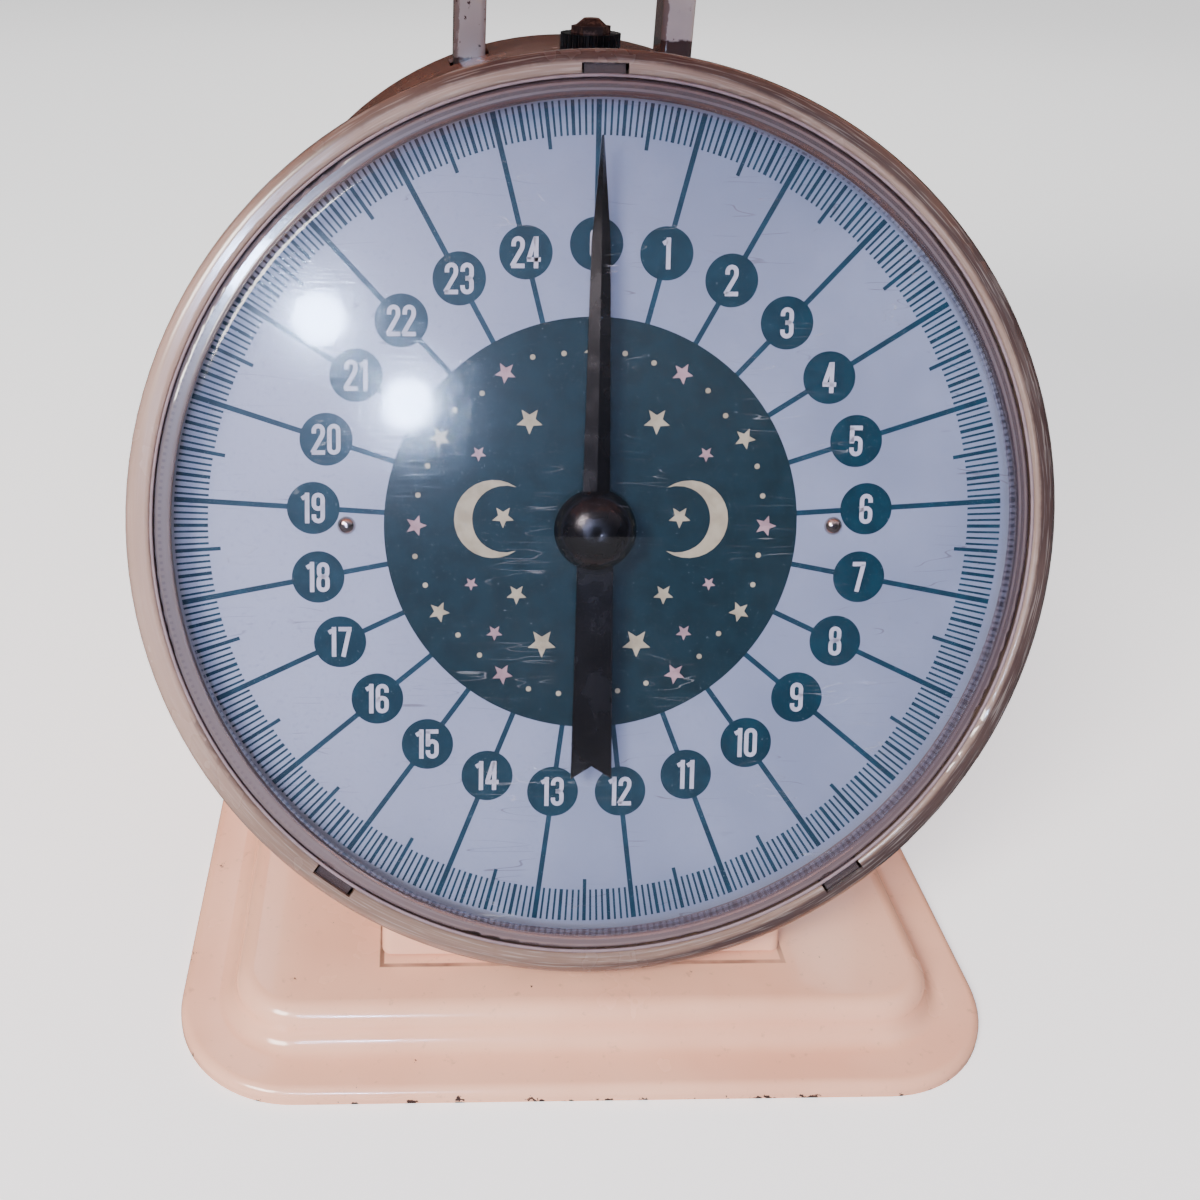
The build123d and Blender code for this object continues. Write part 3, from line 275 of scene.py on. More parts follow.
@dataclass(frozen=True)
class BakedEnamel:
    """Baked gloss enamel sprayed on pressed steel: wet-looking, faintly wavy, chipped to rust at edges."""

    name: str = "baked_enamel_on_pressed_steel"
    colour: str = "#FBBE9E"
    shade: str = "#F1B192"
    chipped: str = "#3A231B"
    chip_start: float = 0.70
    chip_mm: float = 5.5
    edge_low_mm: float = 0.0
    edge_high_mm: float = 3.0
    edge_help: float = 0.0
    grime: float = 0.25
    handled: str = "#3A2C2C"
    handled_share: float = 0.0
    beyond: str = "#F7B99A"
    stains: tuple[Stain, ...] = ()
    seam: tuple[float, float, float] | None = None

    def make(self, dial: Matrix | None = None) -> bpy.types.Material:
        """Builds the enamel.

        Args:
            dial: place of the dial, where the rolled rim round it gets grime and painted shade.

        Returns:
            The material.
        """
        f = Finish(self.name)
        cloud = f.noise(38.0, 3.0)
        colour = f.blend(f.band(cloud, 0.35, 0.7), linear(self.colour), linear(self.shade))
        speck = f.noise(2.6, 4.0, Roughness=0.65)
        dirt = f.maths("MULTIPLY", f.band(speck, 0.60, 0.74), self.grime)
        colour = f.blend(dirt, colour, linear("#8A6657"))
        if dial is not None:
            edge = f.maths("ADD", f.polar(dial)[0], f.band(speck, 0.3, 0.7, -0.08 * MM, 0.08 * MM))
            # Painted shade: the lower part of the rolled rim is darkened, where it turns down away from the light
            low = f.band(f.axis("Z"), 95 * MM, 15 * MM, 0.0, 0.65)
            colour = f.blend(low, colour, linear("#74594D"))
            # Grime and painted shade: the dark band reaches further in on the right, the side turned from the lamps
            shade_reach = f.maths("MULTIPLY_ADD", f.band(f.axis("X"), 10 * MM, 60 * MM), 1.4 * MM, edge)
            worn_and_shaded = f.band(shade_reach, 100.9 * MM, 102.1 * MM, 0.0, self.handled_share)
            # Painted shade over grime from handling: the right and the top of the rim are darker than its left, where
            # they lie in shade
            across = f.maths("MULTIPLY_ADD", f.axis("Z"), 0.35, f.axis("X"))
            side = f.band(across, -40 * MM, 45 * MM)
            patchy = f.maths("MULTIPLY", f.maths("MULTIPLY", worn_and_shaded, side), f.band(cloud, 0.25, 0.6, 0.85, 1.0))
            colour = f.blend(patchy, colour, linear(self.handled))
            # Painted shade: the outer edge of the roll is darkened, where it turns away from the light
            edge_shade = f.band(edge, 103.3 * MM, 104.2 * MM, 0.0, 0.6)
            colour = f.blend(edge_shade, colour, linear("#5A4744"))
            streak = f.swirl(dial, 0.4, 30.0)
            colour = f.blend(f.band(streak, 0.5, 0.68, 0.0, 0.16), colour, linear("#D9CFC8"))
            colour = f.blend(f.band(streak, 0.48, 0.32, 0.0, 0.16), colour, linear("#6B5650"))
            below = f.band(edge, 104.9 * MM, 105.3 * MM)
            colour = f.blend(below, colour, linear(self.beyond))
        # Bands of painted light and shade along an object axis: lit and shaded sides and painted shadows
        for stain in self.stains:
            ragged = f.maths("ADD", f.axis(stain.axis), f.band(speck, 0.3, 0.7, -0.3 * MM, 0.3 * MM))
            share = f.band(ragged, stain.clear_mm * MM, stain.full_mm * MM, 0.0, stain.share)
            colour = f.blend(share, colour, linear(stain.colour))
        if self.seam is not None:
            # A dark broken line is painted where the neck of the dish and the foot of the housing meet the base
            aside = f.maths("SUBTRACT", f.maths("ABSOLUTE", f.axis("X")), self.seam[0] * MM)
            before = f.maths("SUBTRACT", self.seam[1] * MM, f.axis("Y"))
            away = f.maths("ABSOLUTE", f.maths("MAXIMUM", aside, before))
            line = f.maths("MULTIPLY", f.band(away, 0.75 * MM, 0.35 * MM), f.band(f.noise(16.0), 0.35, 0.6, 0.35, 0.95))
            line = f.maths("MULTIPLY", line, f.band(f.axis("Y"), self.seam[2] * MM, (self.seam[2] - 20) * MM))
            colour = f.blend(line, colour, linear("#4B352C"))
        # Chips are a quarter to three quarters of chip_mm wide and gather where the band along Z helps them
        chips = f.noise(self.chip_mm, 5.0, Roughness=0.7)
        near = f.band(f.axis("Z"), self.edge_high_mm * MM, self.edge_low_mm * MM, 0.0, self.edge_help)
        raised = f.maths("ADD", chips, near)
        bare = f.band(raised, self.chip_start, self.chip_start + 0.012)
        colour = f.blend(bare, colour, linear(self.chipped))
        # Orange peel of sprayed enamel, ripples about 1.5 mm wide and a few microns deep
        peel = f.noise(1.5, 2.0)
        relief = f.bump(peel, 0.006, f.bump(cloud, 0.03))
        relief = f.bump(f.maths("SUBTRACT", 1.0, bare), 0.08, relief)
        rough = f.blend(bare, (0.17, 0.17, 0.17, 1), (0.75, 0.75, 0.75, 1))
        smear = f.band(f.noise(22.0, 4.0, (1, 1, 2)), 0.4, 0.75, 0.0, 0.14)
        rough = f.maths("ADD", rough, smear)
        shader = f.principled(Base_Color=colour, Roughness=rough, Normal=relief, IOR=1.52, Coat_Weight=0.35, Coat_Roughness=0.06)
        return f.end(shader)


@dataclass(frozen=True)
class DialEnamel:
    """White lithographed enamel of the dial sheet: satin, greyed with age, with a few dark rubs."""

    name: str = "lithographed_dial_enamel"

    def make(self) -> bpy.types.Material:
        """Builds the dial's ground.

        Returns:
            The material.
        """
        f = Finish(self.name)
        cloud = f.noise(30.0, 4.0)
        colour = f.blend(f.band(cloud, 0.3, 0.7), linear("#91A1B8"), linear("#8595AC"))
        # Painted light: the left side of the dial is lighter, where the lamps' glow falls on it
        colour = f.blend(f.band(f.axis("X"), 20 * MM, -90 * MM, 0.0, 0.6), colour, linear("#B4C1D6"))
        fine = f.band(f.noise(1.1, 4.0, Roughness=0.7), 0.52, 0.75, 0.0, 0.42)
        colour = f.blend(fine, colour, linear("#8090A8"))
        lines = f.noise(9.0, 1.0, (5.0, 0.5, 0.5), 0.16)
        off = f.maths("ABSOLUTE", f.maths("SUBTRACT", lines, 0.5))
        thin = f.band(off, 0.0045, 0.0015)
        broken = f.maths("MULTIPLY", thin, f.band(f.noise(14.0, 2.0), 0.52, 0.6, 0.0, 0.75))
        colour = f.blend(broken, colour, linear("#6C6E7C"))
        relief = f.bump(f.noise(0.8, 2.0), 0.004)
        return f.end(f.principled(Base_Color=colour, Roughness=0.42, Normal=relief, IOR=1.5))


@dataclass(frozen=True)
class DialInk:
    """Screened printing ink on the dial: dense, slightly mottled, low sheen."""

    name: str
    colour: str
    mottle: str

    def make(self) -> bpy.types.Material:
        """Builds the ink.

        Returns:
            The material.
        """
        f = Finish(self.name)
        share = f.band(f.noise(4.0, 4.0), 0.35, 0.7)
        colour = f.blend(share, linear(self.colour), linear(self.mottle))
        pin = f.band(f.noise(0.5, 3.0), 0.68, 0.75, 0.0, 0.45)
        colour = f.blend(pin, colour, linear("#8FA3AE"))
        return f.end(f.principled(Base_Color=colour, Roughness=0.45, IOR=1.33))


@dataclass(frozen=True)
class ClearCover:
    """Injection-moulded clear acrylic with age haze, hairline scratches and a purple-grey rim of painted shade and
    internal reflections.
    """

    name: str = "moulded_clear_acrylic"
    rim_from: float = 94.1
    rim_colour: str = "#54484D"
    rings: tuple[tuple[float, float, str, float], ...] = (
        (94.6, 0.9, "#433B43", 0.9),
        (95.75, 0.35, "#71686C", 0.8),
        (97.1, 0.35, "#77686B", 0.8),
        (98.1, 0.9, "#4C3B3E", 0.8),
    )
    beads: float = 400.0

    def make(self, dial: Matrix) -> bpy.types.Material:
        """Builds the cover.

        Args:
            dial: place of the dial, from which the rim's radius is measured.

        Returns:
            The material.
        """
        f = Finish(self.name)
        radius, angle = f.polar(dial)
        rim = f.band(radius, self.rim_from * MM, (self.rim_from + 0.25) * MM)
        tab = f.band(radius, 98.0 * MM, 98.2 * MM)
        lines = f.noise(7.0, 1.5, (6.0, 0.6, 0.6), 0.12)
        off = f.maths("ABSOLUTE", f.maths("SUBTRACT", lines, 0.5))
        hair = f.band(off, 0.0035, 0.001)
        hair = f.maths("MULTIPLY", hair, f.band(f.noise(18.0, 2.0), 0.54, 0.64, 0.0, 0.2))
        haze = f.band(f.noise(45.0, 3.0), 0.35, 0.8, 0.0, 0.006)
        share = f.maths("MAXIMUM", f.maths("MULTIPLY", rim, 0.86), f.maths("ADD", hair, haze))
        # Painted light: the left of the rim, towards the lamps, is lighter
        lit = f.band(f.axis("X"), -30 * MM, -80 * MM, 0.0, 0.93)
        # The rim's purple-grey and its concentric lines are painted: they stand for the shade and internal reflections
        # seen in the moulded edge
        tint = linear(self.rim_colour)
        for centre, half, colour, strength in self.rings:
            ring = f.band(f.maths("ABSOLUTE", f.maths("SUBTRACT", radius, centre * MM)), half * MM, half * 0.5 * MM, 0.0, strength)
            tint = f.blend(ring, tint, linear(colour))
        tint = f.blend(lit, tint, linear("#6B6268"))
        # Painted reflection: the dial's marks show once more in the moulded edge, as a row of dots on its lit left side
        mark_reflection = f.band(f.maths("SINE", f.maths("MULTIPLY", angle, self.beads)), 0.0, 0.6)
        row = f.band(f.maths("ABSOLUTE", f.maths("SUBTRACT", radius, 96.7 * MM)), 0.45 * MM, 0.25 * MM)
        tint = f.blend(f.maths("MULTIPLY", f.maths("MULTIPLY", mark_reflection, row), lit), tint, linear("#5E555E"))
        # Dust that has settled in the lower half of the rim makes it paler
        dusty = f.band(f.axis("Z"), 110 * MM, 25 * MM, 0.0, 0.5)
        tint = f.blend(dusty, tint, linear("#846F6E"))
        tint = f.blend(rim, linear("#C9CAD2"), tint)
        tint = f.blend(tab, tint, linear("#46393B"))
        clear = add_node(f.tree, "BsdfTransparent", {}, {"Color": linear("#F8F5F8")}).outputs[0]
        veil = f.principled(Base_Color=tint, Roughness=0.25, IOR=1.49)
        body = add_node(f.tree, "MixShader", {}, {0: share, 1: clear, 2: veil}).outputs[0]
        # Only the side that faces out mirrors, so that each wall adds one reflection
        fresnel = add_node(f.tree, "Fresnel", {}, {"IOR": 1.49}).outputs[0]
        behind = add_node(f.tree, "NewGeometry").outputs["Backfacing"]
        mirror = f.maths("MULTIPLY", fresnel, f.maths("SUBTRACT", 1.0, behind))
        # Fine wiping scratches, a fifth of a millimetre wide, draw the lamps' glow out into streaks
        wiped = f.bump(f.noise(0.7, 2.0, (9.0, 1.0, 1.0), 0.5), 0.022, f.bump(f.noise(0.8, 2.0, (1.0, 1.0, 9.0), -0.4), 0.022))
        lobes = [
            add_node(f.tree, "BsdfAnisotropic", {}, {"Color": (1, 1, 1, 1), "Roughness": rough, **normal}).outputs[0]
            for rough, normal in ((0.05, {}), (0.13, {"Normal": wiped}), (0.28, {}))
        ]
        wide = add_node(f.tree, "MixShader", {}, {0: 0.05, 1: lobes[1], 2: lobes[2]}).outputs[0]
        gloss = add_node(f.tree, "MixShader", {}, {0: 0.6, 1: lobes[0], 2: wide}).outputs[0]
        whole = add_node(f.tree, "MixShader", {}, {0: mirror, 1: body, 2: gloss}).outputs[0]
        return f.end(whole)


@dataclass(frozen=True)
class GlossBlack:
    """Gloss black stoving paint or moulding, dusty, with small nicks."""

    name: str = "gloss_black_paint"
    colour: str = "#09090C"
    roughness: float = 0.21

    def make(self) -> bpy.types.Material:
        """Builds the black.

        Returns:
            The material.
        """
        f = Finish(self.name)
        dust = f.band(f.noise(1.4, 5.0, Roughness=0.7), 0.56, 0.74, 0.0, 0.02)
        colour = f.blend(dust, linear(self.colour), linear("#4A4548"))
        rough = f.maths("ADD", self.roughness, f.band(f.noise(7.0, 4.0), 0.4, 0.7, 0.0, 0.1))
        relief = f.bump(f.noise(0.9, 2.0), 0.002)
        return f.end(f.principled(Base_Color=colour, Roughness=rough, Normal=relief, IOR=1.5))


@dataclass(frozen=True)
class Metal:
    """A bare or plated metal, with the grain of how it was worked and the stained patches of its age."""

    name: str
    colour: str
    stain: str
    roughness: float = 0.3
    metallic: float = 1.0
    stain_start: float = 0.5
    grain_mm: float = 0.35
    grain_stretch: tuple[float, float, float] = (8.0, 1.0, 1.0)

    def make(self) -> bpy.types.Material:
        """Builds the metal.

        Returns:
            The material.
        """
        f = Finish(self.name)
        share = f.band(f.noise(3.5, 5.0, Roughness=0.65), self.stain_start, self.stain_start + 0.16)
        colour = f.blend(share, linear(self.colour), linear(self.stain))
        metallic = f.maths("MULTIPLY", f.maths("SUBTRACT", 1.0, f.maths("MULTIPLY", share, 0.7)), self.metallic)
        rough = f.maths("ADD", self.roughness, f.maths("MULTIPLY", share, 0.35))
        relief = f.bump(f.noise(self.grain_mm, 3.0, self.grain_stretch), 0.01)
        return f.end(f.principled(Base_Color=colour, Metallic=metallic, Roughness=rough, Normal=relief))


@dataclass(frozen=True)
class MouldedRubber:
    """Moulded black rubber of the tray's pads: matt and bloomed."""

    name: str = "moulded_rubber"
    colour: str = "#1C1B1B"
    bloomed: str = "#3B3938"

    def make(self) -> bpy.types.Material:
        """Builds the rubber.

        Returns:
            The material.
        """
        f = Finish(self.name)
        bloom = f.band(f.noise(3.0, 4.0), 0.4, 0.75, 0.0, 0.5)
        colour = f.blend(bloom, linear(self.colour), linear(self.bloomed))
        return f.end(f.principled(Base_Color=colour, Roughness=0.72, Normal=f.bump(f.noise(0.6), 0.02)))


class Pieces:
    """Turns finished bmeshes into objects that ride on a body."""

    def __init__(self) -> None:
        """Starts with no pieces."""
        self.names: list[str] = []

    def finish(
        self,
        name: str,
        mesh: bmesh.types.BMesh,
        place: Matrix,
        body: str,
        material: bpy.types.Material,
        smooth: bool = False,
    ) -> bpy.types.Object:
        """Makes one object of a bmesh in millimetres.

        Args:
            name: the piece's name.
            mesh: its shape, in millimetres, in the frame that place puts on the object.
            place: that frame, in millimetres.
            body: the CAD body it rides on.
            material: its finish.
            smooth: whether its faces are shaded smooth.

        Returns:
            The new object.
        """
        bmesh.ops.remove_doubles(mesh, verts=mesh.verts, dist=0.0005)
        bmesh.ops.recalc_face_normals(mesh, faces=mesh.faces)
        mesh.transform(Matrix.Scale(MM, 4) @ place)
        for face in mesh.faces:
            face.smooth = smooth
        data = bpy.data.meshes.new(name)
        mesh.to_mesh(data)
        mesh.free()
        data.materials.append(material)
        piece = bpy.data.objects.new(name, data)
        bpy.context.scene.collection.objects.link(piece)
        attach(piece, body)
        self.names.append(name)
        log.info("piece %s on %s: %d faces", name, body, len(data.polygons))
        return piece


@dataclass
class DialSpot:
    """Place of the dial: its middle, its tilt, and a frame of across, up and out."""

    y: float = -40.2
    z: float = 111.901
    tilt_deg: float = 19.0

    def matrix(self) -> Matrix:
        """Frame of the dial in millimetres: X across, Y up the dial, Z out of it."""
        tilt = math.radians(self.tilt_deg)
        return Matrix.Translation((0, self.y, self.z)) @ Matrix.Rotation(QUARTER - tilt, 4, "X")


@dataclass
class Pen:
    """A broad nib that draws ribbons of one width into a bmesh, by straight runs and turns."""

    mesh: bmesh.types.BMesh
    width: float
    level: float
    place: Matrix
    spot: Vector = field(default_factory=lambda: Vector((0, 0, 0)))
    heading: float = 0.0
    nib: bmesh.types.BMEdge | None = None

    def start(self, x: float, y: float, heading_deg: float) -> None:
        """Puts the nib down at a point of the glyph, facing the way it will go."""
        self.heading = math.radians(heading_deg)
        self.spot = Vector((x, y, self.level))
        side = Vector((-math.sin(self.heading), math.cos(self.heading), 0)) * self.width / 2
        ends = [self.mesh.verts.new(self.place @ (self.spot + side * sign)) for sign in (-1, 1)]
        self.nib = self.mesh.edges.new(ends)

    def run(self, length: float) -> None:
        """Draws straight on.

        Args:
            length: how far, in millimetres.
        """
        step = Vector((math.cos(self.heading), math.sin(self.heading), 0)) * length
        grown = bmesh.ops.extrude_edge_only(self.mesh, edges=[self.nib])["geom"]
        moved = [g for g in grown if isinstance(g, bmesh.types.BMVert)]
        bmesh.ops.translate(self.mesh, verts=moved, vec=self.place.to_3x3() @ step)
        self.nib = next(g for g in grown if isinstance(g, bmesh.types.BMEdge) and set(g.verts) == set(moved))
        self.spot = self.spot + step

    def turn(self, radius: float, angle_deg: float, steps: int = 8) -> None:
        """Draws an arc.

        Args:
            radius: radius of the ribbon's middle.
            angle_deg: how far it turns; to the left is positive.
            steps: flats in the arc.
        """
        angle = math.radians(angle_deg)
        side = math.copysign(1, angle)
        centre = self.spot + Vector((-math.sin(self.heading), math.cos(self.heading), 0)) * radius * side
        grown = bmesh.ops.spin(
            self.mesh,
            geom=[self.nib, *self.nib.verts],
            cent=self.place @ centre,
            axis=self.place.to_3x3() @ Vector((0, 0, 1)),
            angle=angle,
            steps=steps,
            use_duplicate=False,
        )["geom_last"]
        self.nib = next(g for g in grown if isinstance(g, bmesh.types.BMEdge))
        self.spot = centre + Matrix.Rotation(angle, 3, "Z") @ (self.spot - centre)
        self.heading += angle

    def line(self, x1: float, y1: float, x2: float, y2: float) -> None:
        """Draws one straight stroke between two points."""
        self.start(x1, y1, math.degrees(math.atan2(y2 - y1, x2 - x1)))
        self.run(math.hypot(x2 - x1, y2 - y1))


@dataclass
class Numerals:
    """Condensed gothic numerals of one stroke width, as on an old printed dial."""

    height: float = 7.0
    stroke: float = 1.0
    half: float = 1.0
    gap: float = 0.5

    def advance(self, digit: str) -> float:
        """Width of a numeral with the stroke's own width."""
        return 1.75 if digit == "1" else 2 * self.half + self.stroke

    def write(self, mesh: bmesh.types.BMesh, text: str, place: Matrix, level: float) -> None:
        """Draws a number centred on a point.

        Args:
            mesh: bmesh that gets the ribbons.
            text: the digits.
            place: frame of the number's middle, in the mesh's own frame.
            level: height above that frame.
        """
        total = sum(self.advance(d) for d in text) + self.gap * (len(text) - 1)
        across = -total / 2
        for digit in text:
            middle = across + self.advance(digit) / 2
            shift = Matrix.Translation((middle, -self.height / 2, 0))
            self.draw(Pen(mesh, self.stroke, level, place @ shift), digit)
            across += self.advance(digit) + self.gap

    def draw(self, pen: Pen, digit: str) -> None:
        """Draws one digit on a baseline, with its middle at zero across.

        Args:
            pen: pen in the digit's own frame.
            digit: one of 0 to 9.
        """
        a, h, w = self.half, self.height, self.stroke
        low, high = a + w / 2, h - a - w / 2
        if digit == "0":
            pen.start(-a, h / 2, 90)
            pen.run(high - h / 2)
            pen.turn(a, -180)
            pen.run(high - low)
            pen.turn(a, -180)
            pen.run(h / 2 - low)
        elif digit == "1":
            pen.line(0.35, 0, 0.35, h)
            pen.line(0.2, h - 0.75, -0.85, h - 1.35)
        elif digit == "2":
            pen.start(-a, high - 0.7, 90)
            pen.run(0.7)
            pen.turn(a, -180)
            pen.run(0.35)
            pen.turn(2.2, -30, 4)
            pen.run(4.15)
            pen.line(-a - w / 2, w / 2, a + w / 2, w / 2)
        elif digit == "3":
            pen.start(-a, high - 0.5, 90)
            pen.run(0.5)
            pen.turn(a, -180)
            pen.run(high - 0.92 - h / 2 - 0.02)
            pen.turn(0.9, -90, 5)
            pen.run(0.5)
            pen.start(-0.35, h / 2 + 0.05, 0)
            pen.run(0.45)
            pen.turn(0.9, -90, 5)
            pen.run(h / 2 - 0.85 - low)
            pen.turn(a, -180)
            pen.run(0.5)
        elif digit == "4":
            pen.line(0.55, 0, 0.55, h)
            pen.line(-a - w / 2, 1.95, a + w / 2 + 0.1, 1.95)
            pen.line(0.4, h - 0.2, -a - 0.1, 2.0)
        elif digit == "5":
            pen.line(-a - w / 2, h - w / 2, a + w / 2 - 0.1, h - w / 2)
            pen.line(-a, h - 0.2, -a, h / 2 - 0.2)
            pen.start(-a, h / 2 - 0.55, 90)
            pen.run(0.2)
            pen.turn(a, -180)
            pen.run(h / 2 - 0.35 - low)
            pen.turn(a, -180)
            pen.run(0.5)
        elif digit in "69":
            side = 1 if digit == "6" else -1
            pen.start(a * side, high - 0.55 if side > 0 else low + 0.55, 90 * side)
            pen.run(0.55)
            pen.turn(a, 180)
            pen.run(high - low)
            pen.turn(a, 180)
            pen.run(1.15)
            pen.turn(a, 180)
        elif digit == "7":
            pen.line(-a - w / 2, h - w / 2, a + w / 2, h - w / 2)
            pen.line(a, h - 0.6, -0.4, 0)
        else:
            for bottom, top, reach in ((low, h / 2 - 0.85, a), (h / 2 + 1.0, high, a * 0.92)):
                pen.start(-reach, bottom, 90)
                pen.run(top - bottom)
                pen.turn(reach, -180)
                pen.run(top - bottom)
                pen.turn(reach, -180)


@dataclass
class DialPrint:
    """Everything printed on the dial: marks, pound lines, number discs, numbers and the middle."""

    spot: DialSpot = field(default_factory=DialSpot)
    outer_radius: float = 95.0
    pounds: int = 25
    ounces: int = 16
    disc_ring: float = 63.6
    disc_radius: float = 6.0
    middle_radius: float = 47.5
    ink: float = 0.04
    sunk: float = 0.02

    def bar(self, mesh: bmesh.types.BMesh, angle: float, inner: float, outer: float, width: float, top: float) -> None:
        """Adds one printed bar that points at the dial's middle.

        Args:
            mesh: bmesh that gets it.
            angle: clockwise angle from the top, in radians.
            inner: radius of its inner end.
            outer: radius of its outer end.
            width: its width.
            top: height of its face above the dial.
        """
        size = Matrix.Diagonal((width, outer - inner, top + self.sunk, 1))
        middle = Matrix.Translation((0, (inner + outer) / 2, (top - self.sunk) / 2))
        bmesh.ops.create_cube(mesh, size=1, matrix=Matrix.Rotation(-angle, 4, "Z") @ middle @ size)

    def disc(self, mesh: bmesh.types.BMesh, place: Matrix, radius: float, top: float, segments: int = 48) -> list[bmesh.types.BMVert]:
        """Adds one printed disc.

        Args:
            mesh: bmesh that gets it.
            place: frame of its middle on the dial.
            radius: its radius.
            top: height of its face above the dial.
            segments: sides of the disc.

        Returns:
            Its vertices.
        """
        lift = Matrix.Translation((0, 0, (top - self.sunk) / 2))
        made = bmesh.ops.create_cone(
            mesh,
            cap_ends=True,
            segments=segments,
            radius1=radius,
            radius2=radius,
            depth=top + self.sunk,
            matrix=place @ lift,
        )
        return made["verts"]

    def build_marks(self) -> bmesh.types.BMesh:
        """All 400 ounce marks, with longer and broader ones at the halves and quarters."""
        mesh = bmesh.new()
        count = self.pounds * self.ounces
        for step in range(count):
            part = step % self.ounces
            if part == 0:
                continue
            kind = Mark.HALF_POUND if part == 8 else Mark.QUARTER_POUND if part % 4 == 0 else Mark.OUNCE
            inner, width = kind.value
            self.bar(mesh, 2 * math.pi * step / count, inner, self.outer_radius, width, self.ink)
        return mesh

    def build_pound_lines(self) -> bmesh.types.BMesh:
        """The lines that join each pound to its disc, and the disc to the middle."""
        mesh = bmesh.new()
        width = Mark.POUND.value[1]
        for pound in range(self.pounds):
            angle = 2 * math.pi * pound / self.pounds
            inner = self.disc_ring + self.disc_radius - 0.3
            self.bar(mesh, angle, inner, self.outer_radius, width, self.ink)
            outer = self.disc_ring - self.disc_radius + 0.3
            self.bar(mesh, angle, self.middle_radius - 0.3, outer, width, self.ink)
        return mesh

    def ring_place(self, pound: int) -> Matrix:
        """Upright frame at a pound's number disc."""
        angle = 2 * math.pi * pound / self.pounds
        return Matrix.Translation((self.disc_ring * math.sin(angle), self.disc_ring * math.cos(angle), 0))

    def build_discs(self) -> bmesh.types.BMesh:
        """The 25 discs behind the numbers."""
        mesh = bmesh.new()
        for pound in range(self.pounds):
            self.disc(mesh, self.ring_place(pound), self.disc_radius, self.ink + 0.02)
        return mesh

    def build_numbers(self) -> bmesh.types.BMesh:
        """The numbers 0 to 24, upright on their discs, raised to a printed film."""
        mesh = bmesh.new()
        numerals = Numerals()
        for pound in range(self.pounds):
            numerals.write(mesh, str(pound), self.ring_place(pound), self.ink + 0.02)
        self.thicken(mesh, 0.03)
        return mesh

    def thicken(self, mesh: bmesh.types.BMesh, height: float) -> None:
        """Gives flat printing its film: every face is drawn up into a thin slab.

        Args:
            mesh: bmesh of flat faces.
            height: thickness of the film.
        """
        bmesh.ops.recalc_face_normals(mesh, faces=mesh.faces)
        grown = bmesh.ops.extrude_face_region(mesh, geom=list(mesh.faces), use_keep_orig=True)["geom"]
        moved = [g for g in grown if isinstance(g, bmesh.types.BMVert)]
        bmesh.ops.translate(mesh, verts=moved, vec=(0, 0, height))

    def star(self, mesh: bmesh.types.BMesh, place: Matrix, radius: float, points: int = 5) -> None:
        """Adds one printed star.

        Args:
            mesh: bmesh that gets it.
            place: frame of its middle on the dial.
            radius: radius of its points.
            points: how many points it has.
        """
        verts = self.disc(mesh, place, radius, self.ink + 0.05, 2 * points)
        centre = place.translation
        back = Matrix.Translation(-centre)
        order = sorted(verts, key=lambda v: math.atan2(v.co.y - centre.y, v.co.x - centre.x))
        inner = [v for i, v in enumerate(order) if (i // 2) % 2]
        bmesh.ops.scale(mesh, vec=(0.45, 0.45, 1), verts=inner, space=back)

    def crescent(self, mesh: bmesh.types.BMesh, place: Matrix, radius: float) -> None:
        """Adds one printed crescent moon, from a strip bent round and pinched at its ends.

        Args:
            mesh: bmesh that gets it.
            place: frame of its middle on the dial.
            radius: its outer radius.
        """
        strip = bmesh.ops.create_grid(mesh, x_segments=20, y_segments=1, size=1)["verts"]
        level = self.ink + 0.03
        for vert in strip:
            angle = vert.co.x * math.radians(125)
            fat = math.cos(vert.co.x * QUARTER) * 0.46 * radius
            reach = radius - (fat if vert.co.y < 0 else 0)
            vert.co = place @ Vector((-reach * math.cos(angle), reach * math.sin(angle), level))
        self.thicken_part(mesh, strip)

    def thicken_part(self, mesh: bmesh.types.BMesh, verts: list[bmesh.types.BMVert]) -> None:
        """Gives one flat motif its film.

        Args:
            mesh: bmesh that holds it.
            verts: its vertices.
        """
        faces = list({face for vert in verts for face in vert.link_faces})
        grown = bmesh.ops.extrude_face_region(mesh, geom=faces, use_keep_orig=True)["geom"]
        moved = [g for g in grown if isinstance(g, bmesh.types.BMVert)]
        bmesh.ops.translate(mesh, verts=moved, vec=(0, 0, 0.03))

    def build_middle(self) -> bmesh.types.BMesh:
        """The dark disc in the middle of the dial."""
        mesh = bmesh.new()
        self.disc(mesh, Matrix.Identity(4), self.middle_radius, self.ink + 0.01, 160)
        return mesh

    def build_ornament(self, pale: bool) -> bmesh.types.BMesh:
        """Plain night-sky ornament of the middle: stars and dots in a wreath, two moons inside it.

        Args:
            pale: whether this is the cream part; otherwise it is the pink part.

        Returns:
            The motifs in one bmesh.
        """
        mesh = bmesh.new()
        draw = random.Random(7)
        for step in range(36):
            angle = 2 * math.pi * step / 36
            cream = step % 6 != 3
            if cream != pale:
                continue
            place = Matrix.Rotation(-angle, 4, "Z") @ Matrix.Translation((0, 40.2, 0))
            if step % 3 == 0:
                self.star(mesh, place, 2.5)
            else:
                self.disc(mesh, place @ Matrix.Translation((0, draw.uniform(-0.9, 0.9), 0)), 0.62, self.ink + 0.05, 12)
        for side in (-1, 1):
            turn = Matrix.Diagonal((side, 1, 1, 1))
            if pale:
                self.crescent(mesh, turn @ Matrix.Translation((-22.5, 1.5, 0)), 9.0)
            for across, up, size in ((14.5, 24.0, 3.1), (26.0, 16.5, 1.8), (17.0, -16.0, 2.4), (27.5, -13.5, 1.6), (11.0, -27.5, 3.4), (22.0, -25.0, 1.9), (20.3, 2.0, 2.6)):
                if (size > 2.2) == pale:
                    self.star(mesh, Matrix.Translation((side * across, up, 0)), size)
        return mesh

